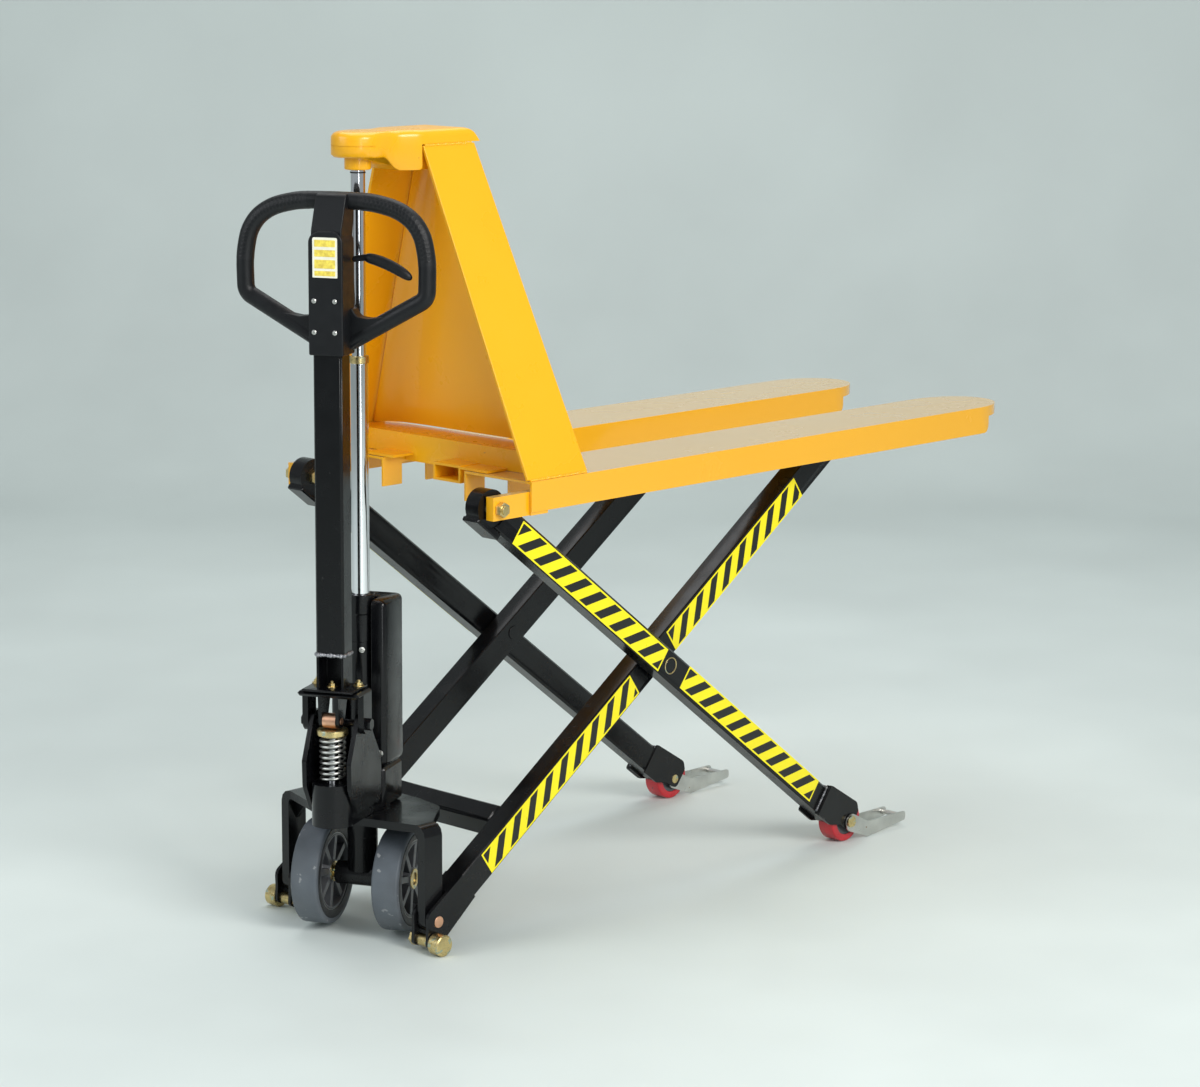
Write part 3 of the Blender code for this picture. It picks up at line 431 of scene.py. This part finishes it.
def bead(name, start, end, width, place, body, waves=26, material=None):
    """Weld bead between two points: a low seam of uneven, overlapping ripples."""
    start, end = Vector(start), Vector(end)
    steps = waves * 6
    path = [start.lerp(end, step / steps) for step in range(steps + 1)]

    def size(share):
        ripple = abs(math.sin(share * waves * math.pi))
        wander = math.sin(share * waves * 1.7 + waves) * 0.14
        return width * (0.70 + 0.30 * ripple + wander)

    return from_form(name, tube(path, size, sides=10), place, body, material or SCORED)


def hexagon(radius):
    """Corners of a bolt head."""
    return [(radius * math.cos(math.pi / 3 * k), radius * math.sin(math.pi / 3 * k))
            for k in range(6)]


def hex_bolt(name, place, body, radius, height, material="yellow_zinc", replaces=()):
    """Hexagon head on a washer, with a chamfered stud end, along the place's Z."""
    washer = rounded_profile([(radius * 1.45, 0.0, 0), (radius * 1.45, WASHER, 0.0005),
                              (0.0005, WASHER, 0), (0.0005, 0.0, 0)], 2)
    top = WASHER + height
    stud = [(radius * 0.55, top), (radius * 0.55, height + 0.0046),
            (radius * 0.40, height + 0.0060), (0.0004, height + 0.0060), (0.0004, top)]
    form = merged(lathe(washer, 32), slab(hexagon(radius), WASHER, top), lathe(stud, 24))
    thing = from_form(name, form, place, body, MATERIALS[material], replaces)
    return broken_edges(thing, 0.0006)


# ---------------------------------------------------------------- truck pieces
def plain_pieces():
    """CAD solids whose shape is right: only edges and finish are added."""
    fine = {"portal_frame": 0.0025, "pump_body": 0.0015, "oil_reservoir": 0.002,
            "handle_yoke": 0.0018, "handle_channel": 0.0008, "handle_tube": 0.001,
            "cross_tube": 0.001, "mast_panel": 0.0, "cross_beam": 0.0010}
    for node in ("portal_frame", "steer_bearing", "pump_body", "oil_reservoir", "handle_yoke",
                 "handle_channel", "handle_tube", "cross_tube", "mast_panel", "cross_beam",
                 "plunger", "spring_cap", "pump_roller", "handle_pivot_bolt", "wheel_axle",
                 "second_stage_rod", "first_stage_tube", "stage_ring", "ram_barrel",
                 "barrel_gland"):
        dress(node, edge=fine.get(node, 0.0006))
    for _, label in SIDES:
        for node, edge in (("ear_plate", 0.001), ("inner_arm", 0.0012), ("outer_arm", 0.0012),
                           ("foot", 0.0008), ("low_pin", 0.0008), ("mid_pivot_pin", 0.0006),
                           ("fork_roller", 0.001), ("roller_pin", 0.0005), ("load_axle", 0.0008),
                           ("entry_link", 0.0006), ("top_bolt", 0.0006), ("mast_plate", 0.0012)):
            dress(f"{node}_{label}", edge=edge)
        dress(f"fork_{label}", FORK_PAINT, edge=0.0032, segments=3, level=0.0006)


def head_arm():
    """Smooth pressed arm from the mast to the ram, with a boss under its round end."""
    low_box, high_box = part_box("head_arm")
    top = high_box.z
    front = high_box.x - RAM.x
    fillet = 0.011
    split = top - 0.0234

    def half_width(x):
        if x < 0.0:
            return math.sqrt(max(0.0, 0.044 ** 2 - x * x))
        share = min(1.0, max(0.0, x / 0.05))
        narrow = 0.044 - 0.0075 * (share * share * (3 - 2 * share))
        share = min(1.0, max(0.0, (x - 0.045) / 0.055))
        return narrow + (0.056 - 0.0365) * (share * share * (3 - 2 * share))

    def outline(inset, end, steps=30):
        xs = [-0.044 * math.cos(math.pi / 2 * k / 9) for k in range(10)]
        xs += [end * k / steps for k in range(1, steps + 1)]
        side = [(x, half_width(x)) for x in xs]
        scaled = []
        middle = end / 2 - 0.02
        for x, y in side:
            shift = inset * (x - middle) / (end / 2 + 0.02)
            scaled.append((x - max(-inset, min(inset, shift * 1.3)), max(0.0, y - inset)))
        return scaled

    def shell(levels, end, slope=0.0):
        form = bmesh.new()
        rings = []
        for inset, height in levels:
            reach = end if callable(height) else end - slope * max(0.0, height - split)
            half = outline(inset, reach)
            whole = half + [(x, -y) for x, y in reversed(half[1:])]
            rings.append([form.verts.new((x, y, height(x) if callable(height) else height))
                          for x, y in whole])
        for lower, upper in zip(rings, rings[1:]):
            count = len(lower)
            for k in range(count):
                form.faces.new((lower[k], lower[(k + 1) % count], upper[(k + 1) % count], upper[k]))
        form.faces.new(rings[0])
        form.faces.new(rings[-1])
        return form

    def belly(x):
        share = min(1.0, max(0.0, (x - 0.022) / 0.04))
        return 1.316 - 0.0235 * (share * share * (3 - 2 * share))

    arcs = [(fillet * (1 - math.cos(a)), top - fillet + fillet * math.sin(a))
            for a in (math.pi / 2 * k / 5 for k in range(6))]
    cap = shell([(0.0, split)] + arcs, front, 0.85)
    lower = shell([(0.003, belly), (0.0, lambda x: belly(x) + 0.004), (0.0, split + 0.001)], 0.0936)
    boss = lathe(rounded_profile([(0.022, 1.325, 0), (0.022, low_box.z + 0.0036, 0.002),
                                  (0.013, low_box.z + 0.0036, 0), (0.013, 1.325, 0)], 3), 48)
    web = slab([(0.085, 1.2925), (0.205, 1.2925), (0.205, split), (0.085, split)],
               -0.0455, 0.0455, "XZ")
    form = merged(cap, lower, boss, web)
    seal = rounded_profile([(0.0130, 1.2915, 0.0005), (0.0130, 1.2893, 0.0005),
                            (0.0121, 1.2893, 0), (0.0121, 1.2915, 0)], 2)
    from_form("rod_ring", lathe(seal, 40), TRUCK, "fork_frame", MATERIALS["black_plastic"])
    from_form("head_arm_casting", form, TRUCK, "fork_frame", MATERIALS["yellow_paint"],
              ("head_arm",), 50)


def wheels():
    """Grey tyres with a black wall, ribbed hubs, bright rim rings and bearings."""
    for _, label in SIDES:
        centre = spot(f"wheel_{label}_spin")
        body = f"wheel_{label}"
        place = Matrix.Translation(centre) @ Matrix.Rotation(
            math.atan2(-steer_axle.x, steer_axle.y), 4, "Z")
        radius, half = 0.090, 0.024
        tread = rounded_profile([(radius, half, 0.0055), (radius, -half, 0.0055),
                                 (0.0805, -half, 0.001), (0.0805, half, 0.001)], 6)
        from_form(f"tyre_tread_{label}", lathe(tread, 96, "Y"), place, body, MATERIALS["grey_tyre"],
                  (f"steer_tyre_{label}",), 50)
        wall = rounded_profile([(0.0800, half + 0.0004, 0.001), (0.0800, -half - 0.0004, 0.001),
                                (0.0680, 0.0012 - half, 0.001), (0.0664, 0.003 - half, 0),
                                (0.0664, half - 0.003, 0), (0.0680, half - 0.0012, 0.001)], 3)
        from_form(f"tyre_wall_{label}", lathe(wall, 96, "Y"), place, body, SIDEWALL,
                  (), 40)
        rim = rounded_profile([(0.0660, half - 0.002, 0.001), (0.0660, 0.002 - half, 0.001),
                               (0.0615, 0.002 - half, 0.001), (0.0585, -0.006, 0.004),
                               (0.0235, -0.005, 0.003), (0.0200, 0.004 - half, 0.001),
                               (0.0106, 0.004 - half, 0), (0.0106, half - 0.004, 0),
                               (0.0200, half - 0.004, 0.001), (0.0235, 0.005, 0.003),
                               (0.0585, 0.006, 0.004), (0.0615, half - 0.002, 0.001)], 3)
        ribs = []
        for spoke in range(8):
            fin = slab([(0.019, 0.005 - half), (0.0618, 0.0042 - half), (0.0618, half - 0.0042),
                        (0.019, half - 0.005)], -0.0056, 0.0056)
            ribs.append(moved(fin, Matrix.Rotation(spoke * math.pi / 4 + 0.2, 4, "Y")))
        hub = from_form(f"hub_casting_{label}", merged(lathe(rim, 72, "Y"), *ribs), place, body,
                        MATERIALS["dark_hub"], (f"steer_hub_{label}",), 40)
        broken_edges(hub, 0.0010)
        for face, end in ((-1, "inner"), (1, "outer")):
            ring = [(0.0664, 0.0012), (0.0664, 0.0002), (0.0634, 0.0002), (0.0634, 0.0012)]
            ring = [(r, face * (half - 0.0024) + h) for r, h in ring]
            from_form(f"rim_ring_{label}_{end}", lathe(ring, 72, "Y"), place, body,
                      MATERIALS["bright_zinc"])
            race = rounded_profile([(0.0175, 0.0022, 0.0006), (0.0175, 0.0, 0), (0.0108, 0.0, 0),
                                    (0.0108, 0.0022, 0.0006)], 2)
            race = [(r, face * (half - 0.0044) + face * h) for r, h in race]
            from_form(f"bearing_{label}_{end}", lathe(race, 48, "Y"), place, body,
                      MATERIALS["yellow_zinc"])


def pump_spring():
    """Return spring, eight coils of bright wire that ride on the plunger."""
    low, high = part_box("pump_spring")
    centre = spot("plunger_stroke")
    wire = 0.0024
    coil = (high.x - low.x) / 2 - wire
    turns, per_turn = 8, 40
    play = 0.0005                   # clear of the pump body
    bottom, top = low.z + wire + play, high.z - wire
    path = []
    for step in range(turns * per_turn + 1):
        turn = 2 * math.pi * step / per_turn
        rise = bottom + (top - bottom) * step / (turns * per_turn)
        path.append(Vector((centre.x + coil * math.cos(turn), centre.y + coil * math.sin(turn),
                            rise)))
    thing = from_form("spring_wire", tube(path, wire, sides=12), Matrix.Identity(4), "plunger",
                      MATERIALS["bright_zinc"], ("pump_spring",))
    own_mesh(thing)


def handle_head():
    """Housing, leaning neck, loop with dimpled grips, blank label and screws."""
    low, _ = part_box("handle_head")
    plane, bar, rear = -0.100, 0.0145, -0.145
    plastic = MATERIALS["black_plastic"]
    outline = rounded_profile([(-0.030, low.z, 0.003), (0.030, low.z, 0.003), (0.030, 1.206, 0.020),
                               (-0.030, 1.206, 0.020)], 8)
    housing = from_form("handle_housing", slab(outline, rear, -0.092, "YZ"), TURRET, "handle",
                        plastic, ("handle_head",), 40)
    broken_edges(housing, 0.0035, 4, 50)
    lean = rounded_profile([(-0.1415, 1.185, 0.002), (-0.1400, 1.207, 0.014),
                            (-0.1170, 1.2645, 0.012), (-0.0835, 1.2645, 0.014),
                            (-0.0840, 1.226, 0.020), (-0.093, 1.185, 0.002)], 6)
    neck = from_form("handle_neck", slab(lean, -0.0265, 0.0265, "XZ"), TURRET, "handle", plastic,
                     (), 40)
    broken_edges(neck, 0.0055, 4, 50)
    arc = [(-0.050, 1.2515), (0.0, 1.2525), (0.050, 1.2515), (0.080, 1.2475), (0.110, 1.2385),
           (0.134, 1.2225), (0.1495, 1.2000), (0.1565, 1.1730), (0.1590, 1.1480), (0.1588, 1.1230)]
    half = [(y, z, 0.0) for y, z in eased(arc, 8)] + [(0.158, 1.098, 0.030), (0.020, 1.0205, 0.0)]
    ring = rounded_profile(half + [(-y, z, bend) for y, z, bend in reversed(half)], 14)
    corners = [Vector((plane, y, z)) for y, z in ring]
    path = []
    for index, point in enumerate(corners):
        after = corners[(index + 1) % len(corners)]
        cuts = max(1, round((after - point).length / 0.008))
        path += [point.lerp(after, k / cuts) for k in range(cuts)]
    from_form("handle_loop_bar", tube(path, bar, closed=True, sides=28), TURRET, "handle", plastic)
    for side, label in SIDES:
        grip = [point for point in path if point.z > 1.150 and side * point.y > 0.042]
        grip.sort(key=lambda point: math.atan2(side * point.y, point.z - 1.15))
        dimple_sleeve(f"grip_{label}", grip, bar)
        leg = rounded_profile([(side * 0.022, 1.0100, 0.002), (side * 0.022, 1.0790, 0.002),
                               (side * 0.0330, 1.0780, 0.004), (side * 0.0415, 1.0655, 0.012),
                               (side * 0.0600, 1.0630, 0.020), (side * 0.0930, 1.0690, 0.002),
                               (side * 0.0900, 1.0560, 0.002), (side * 0.0310, 1.0130, 0.004)], 5)
        web = from_form(f"loop_web_{label}", slab(leg, -0.1130, -0.0870, "YZ"), TURRET, "handle",
                        plastic, (), 40)
        broken_edges(web, 0.0085, 5, 50)
    label = rounded_profile([(-0.0215, 1.131, 0.001), (0.0215, 1.131, 0.001),
                             (0.0215, 1.196, 0.003), (-0.0215, 1.196, 0.003)], 3)
    from_form("blank_label", slab(label, rear - 0.0007, rear + 0.0002, "YZ"), TURRET, "handle",
              PAPER)
    rows = ((1.134, 1.142), (1.146, 1.160), (1.165, 1.176), (1.181, 1.192))
    for row, (bottom, top) in enumerate(rows):
        block = rounded_profile([(-0.0180, bottom, 0.001), (0.0180, bottom, 0.001),
                                 (0.0180, top, 0.001), (-0.0180, top, 0.001)], 2)
        from_form(f"label_block_{row + 1}", slab(block, rear - 0.0010, rear - 0.0006, "YZ"), TURRET,
                  "handle", AMBER)
    screws = ((0.020, 1.093), (-0.016, 1.093), (0.020, 1.042), (-0.016, 1.042))
    for index, (y, z) in enumerate(screws):
        dome = lathe([(0.0042, 0.0), (0.0042, 0.0007), (0.0030, 0.0019), (0.0012, 0.0021),
                      (0.0012, 0.0008), (0.0003, 0.0008), (0.0003, 0.0)], 20)
        place = TURRET @ Matrix.Translation((rear, y, z)) @ Matrix.Rotation(-math.pi / 2, 4, "Y")
        from_form(f"housing_screw_{index + 1}", dome, place, "handle", MATERIALS["bright_zinc"])
    finger_lever()


def finger_lever():
    """Lowering lever: a slim root, a step and a fuller, bent paddle."""
    spine = [(-0.0310, 1.1580), (-0.0380, 1.1595), (-0.0480, 1.1615), (-0.0560, 1.1620),
             (-0.0575, 1.1618), (-0.0660, 1.1605), (-0.0800, 1.1570), (-0.0950, 1.1515),
             (-0.1090, 1.1450), (-0.1220, 1.1375), (-0.1300, 1.1325), (-0.1345, 1.1297)]
    sizes = [0.0048, 0.0052, 0.0054, 0.0056, 0.0080, 0.0090, 0.0094, 0.0094, 0.0092, 0.0084,
             0.0066, 0.0024]
    plane, flatness = -0.105, 0.92
    path = [Vector((plane, y, z)) for y, z in spine]

    def size(share):
        return sizes[min(len(sizes) - 1, round(share * (len(sizes) - 1)))]

    form = tube(path, size, sides=24)
    bmesh.ops.transform(form, matrix=Matrix.Translation((plane, 0, 0))
                        @ Matrix.Scale(flatness, 4, (1, 0, 0))
                        @ Matrix.Translation((-plane, 0, 0)), verts=form.verts)
    thing = from_form("lever_paddle", form, TURRET, "lever", MATERIALS["black_plastic"],
                      ("finger_lever",), 60)
    smoothed = thing.modifiers.new("round", "SUBSURF")
    smoothed.levels = smoothed.render_levels = 1


def eased(points, steps):
    """Smooth curve through the points, from the second to the last."""
    line = [Vector(point) for point in points]
    line.append(line[-1] * 2 - line[-2])
    curve = []
    for before, start, end, after in zip(line, line[1:], line[2:], line[3:]):
        for step in range(steps):
            t = step / steps
            curve.append(0.5 * (2 * start + (end - before) * t
                                + (2 * before - 5 * start + 4 * end - after) * t * t
                                + (3 * start - before - 3 * end + after) * t ** 3))
    return curve + [line[-2]]


def dimple_sleeve(name, path, radius):
    """Skin of the loop's upper arc, pressed in with staggered rows of small dimples."""
    sides, step_along, pitch, rows = 112, 0.0010, 0.0068, 3
    depth, reach = 0.0019, 0.0024
    fine = []
    for start, end in zip(path, path[1:]):
        cuts = max(1, round((end - start).length / step_along))
        fine += [start.lerp(end, k / cuts) for k in range(cuts)]
    form = tube(fine, radius + 0.0002, sides=sides)
    form.verts.ensure_lookup_table()
    row_gap = 0.0058
    for index, vert in enumerate(form.verts):
        ring = index // sides
        centre = fine[ring]
        spoke = vert.co - centre
        outward = Vector((0.0, centre.y, centre.z - 1.15)).normalized()
        across = math.atan2(spoke.dot(outward), -spoke.x) * radius - 0.0035
        row = round(across / row_gap)
        if abs(row) > rows // 2 or not 6 < ring < len(fine) - 7:
            continue
        along = ring * step_along / pitch + 0.5 * (row % 2)
        away = math.hypot((along - round(along)) * pitch, across - row * row_gap)
        vert.co = centre + spoke * (1.0 - depth * max(0.0, 1.0 - (away / reach) ** 2) / radius)
    return from_form(name, form, TURRET, "handle", DIMPLED, (), 80)


def load_rollers():
    """Red rollers on cast cores."""
    for _, label in SIDES:
        place = Matrix.Translation(spot(f"load_roller_{label}_spin"))
        body = f"load_roller_{label}"
        half = 0.0178
        skin = rounded_profile([(0.0400, half, 0.003), (0.0400, -half, 0.003),
                                (0.0270, -half, 0.0005), (0.0270, half, 0.0005)], 4)
        from_form(f"roller_skin_{label}", lathe(skin, 72, "Y"), place, body,
                  MATERIALS["red_polyurethane"], (f"load_roller_{label}",), 50)
        core = rounded_profile([(0.0268, half - 0.001, 0.0004), (0.0268, 0.001 - half, 0.0004),
                                (0.0230, 0.002 - half, 0.0006), (0.0150, 0.004 - half, 0.001),
                                (0.0090, 0.002 - half, 0), (0.0090, half - 0.002, 0),
                                (0.0150, half - 0.004, 0.001), (0.0230, half - 0.002, 0.0006)], 2)
        from_form(f"roller_core_{label}", lathe(core, 48, "Y"), place, body, MATERIALS["dark_hub"])


def stickers():
    """Lemon film with slanted black bars on the outer faces of the arms."""
    width, border, bar, pitch = 0.044, 0.0032, 0.0218, 0.0463
    runs = (("inner_lower", INNER, "inner_arms", 0.1933, 0.136, 0.579, 0.000, 0.1655),
            ("inner_upper", INNER, "inner_arms", 0.1933, 0.692, 1.107, -0.002, 0.722),
            ("outer_upper", OUTER, "outer_arms", 0.2355, -0.476, -0.023, -0.002, -0.4435),
            ("outer_lower", OUTER, "outer_arms", 0.2355, 0.046, 0.501, 0.002, 0.0790))
    film, ink = 0.0003, 0.00045
    for name, place, body, face, start, end, middle, first in runs:
        for side, label in SIDES:
            low, high = sorted((side * (face + 0.0001), side * (face + film)))
            sheet = slab([(start, middle - width / 2), (end, middle - width / 2),
                          (end, middle + width / 2), (start, middle + width / 2)], low, high, "XZ")
            from_form(f"film_{name}_{label}", sheet, place, body, LEMON, (), 0)
            low, high = sorted((side * (face + film), side * (face + ink)))
            bars = []
            edge = width / 2 - border
            left, right = start + border, end - border
            slant = first
            while slant - pitch + bar > left - edge:
                slant -= pitch
            while slant < right + edge:
                shape = clipped(slant, bar, edge, left, right)
                if len(shape) > 2:
                    bars.append(slab([(u, v + middle) for u, v in shape], low, high, "XZ"))
                slant += pitch
            from_form(f"bars_{name}_{label}", merged(*bars), place, body, STRIPE,
                      (), 0)


def clipped(slant, bar, edge, left, right):
    """Bar at 45 degrees, cut by the sides of the film."""
    shape = [(slant - edge, -edge), (slant + bar - edge, -edge), (slant + bar + edge, edge),
             (slant + edge, edge)]
    for limit, keep in ((left, 1), (right, -1)):
        kept = []
        for here, after in zip(shape, shape[1:] + shape[:1]):
            inside, inside_after = keep * (here[0] - limit) >= 0, keep * (after[0] - limit) >= 0
            if inside:
                kept.append(here)
            if inside != inside_after:
                share = (limit - here[0]) / (after[0] - here[0])
                kept.append((limit, here[1] + (after[1] - here[1]) * share))
        shape = kept
    return shape


def welds_and_fasteners():
    """Beads at the welded joints, and the bolts that a CAD node doesn't hold."""
    paint = MATERIALS["yellow_paint"]
    seam = 0.5068                   # height of the channel's top edge on the handle
    bead("weld_handle_rear", (-0.1402, -0.023, seam), (-0.1402, 0.023, seam), 0.0040, TURRET,
         "handle", 8)
    for side, label in SIDES:
        bead(f"weld_handle_{label}", (-0.139, side * 0.0250, seam), (-0.102, side * 0.0250, seam),
             0.0032, TURRET, "handle", 7)
        ring = [Vector((0.0142 * math.cos(turn), side * 0.2358, 0.0142 * math.sin(turn)))
                for turn in (2 * math.pi * k / 48 for k in range(48))]
        from_form(f"pivot_ring_{label}", tube(ring, 0.0011, closed=True, sides=8), OUTER,
                  "outer_arms", MATERIALS["yellow_zinc"])
        mast_low, mast_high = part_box(f"mast_plate_{label}")
        foot = side * (max(abs(mast_low.y), abs(mast_high.y)) + 0.0006)
        bead(f"weld_mast_foot_{label}", (0.1450, foot, 0.7895), (0.2800, foot, 0.7895), 0.0022,
             TRUCK, "fork_frame", 34, paint)
        head = side * 0.0565
        bead(f"weld_mast_head_{label}", (0.098, head, 1.3325), (0.205, head, 1.3325), 0.0024,
             TRUCK, "fork_frame", 26, paint)
        bracket, face = 0.618 - 0.0885, side * 0.2362
        bead(f"weld_bracket_{label}", (bracket, face, -0.025), (bracket, face, 0.025), 0.0020,
             OUTER, "outer_arms", 12)
        bead(f"weld_bracket_top_{label}", (bracket, side * 0.199, 0.0262),
             (bracket, face, 0.0262), 0.0020, OUTER, "outer_arms", 9)
    for index, (x, y) in enumerate(((-0.124, 0.002), (-0.104, -0.0365), (-0.104, 0.0365))):
        place = TURRET @ Matrix.Translation((x, y, 0.4505))
        hex_bolt(f"yoke_bolt_{index + 1}", place, "handle", 0.0066, 0.0046)
    rear = TURRET @ Matrix.Rotation(math.radians(205), 4, "Z")
    fitting = rear @ Matrix.Translation((0.0208, 0, 0.492)) @ Matrix.Rotation(math.pi / 2, 4, "Y")
    hex_bolt("bleed_fitting", fitting, "turret", 0.0034, 0.0030, "bright_zinc")
    screw = TURRET @ Matrix.Translation((-0.0182, -0.040, 0.315))
    screw = screw @ Matrix.Rotation(-math.pi / 2, 4, "Y")
    hex_bolt("tank_screw", screw, "turret", 0.0040, 0.0020, "bright_zinc")


# ---------------------------------------------------------------- studio
def studio():
    """Pale sweep with a floor, and soft light from large panels."""
    form = bmesh.new()
    back, rise, bend = 5.2, 6.0, 1.6
    profile = [(-9.0, 0.0), (back - bend, 0.0)]
    profile += [(back - bend + bend * math.sin(a), bend - bend * math.cos(a))
                for a in (math.pi / 2 * k / 16 for k in range(1, 17))]
    profile.append((back, rise))
    turn = Matrix.Rotation(math.radians(43.45), 4, "Z")     # square to the camera's heading
    rows = []
    for distance, height in profile:
        rows.append([form.verts.new(turn @ Vector((distance, across, height - 0.0002)))
                     for across in (-9.0, 9.0)])
    for lower, upper in zip(rows, rows[1:]):
        form.faces.new((lower[0], lower[1], upper[1], upper[0]))
    bmesh.ops.recalc_face_normals(form, faces=form.faces)
    mesh = bpy.data.meshes.new("sweep")
    form.to_mesh(mesh)
    form.free()
    mesh.shade_smooth()
    floor = bpy.data.objects.new("sweep", mesh)
    bpy.context.scene.collection.objects.link(floor)
    mesh.materials.append(finish("pale_floor", (0.66, 0.72, 0.70), 0.62, mottle=0.05,
                                 mottle_scale=1.3, grain=0.03, grain_scale=40.0))

    world = bpy.data.worlds.new("studio")
    bpy.context.scene.world = world
    world.use_nodes = True
    sky = world.node_tree.nodes["Background"].inputs
    sky["Color"].default_value = (0.80, 0.87, 0.90, 1.0)
    sky["Strength"].default_value = 0.42

    def panel(name, place, target, size, power, colour=(1.0, 1.0, 1.0)):
        light = bpy.data.lights.new(name, "AREA")
        light.shape = "RECTANGLE"
        light.size, light.size_y = size
        light.energy = power
        light.color = colour
        holder = bpy.data.objects.new(name, light)
        bpy.context.scene.collection.objects.link(holder)
        holder.location = place
        holder.rotation_euler = (Vector(target) - Vector(place)).to_track_quat("-Z", "Y").to_euler()

    bpy.context.scene.view_settings.view_transform = "Standard"
    panel("key", (-1.2, -4.6, 3.4), (0.0, 0.0, 0.5), (2.2, 2.2), 200.0, (1.0, 0.985, 0.96))
    panel("fill", (-4.4, 1.6, 2.6), (0.0, 0.0, 0.6), (2.4, 2.4), 60.0, (0.93, 0.97, 1.0))
    panel("top", (0.6, 0.8, 4.2), (0.1, 0.0, 0.3), (3.4, 3.4), 80.0, (1.0, 1.0, 1.0))
    panel("strip", (-2.2, -3.0, 1.2), (-0.6, 0.0, 0.8), (0.35, 2.4), 14.0, (0.95, 0.98, 1.0))


studio_camera()
studio()
plain_pieces()
head_arm()
wheels()
pump_spring()
handle_head()
load_rollers()
stickers()
welds_and_fasteners()
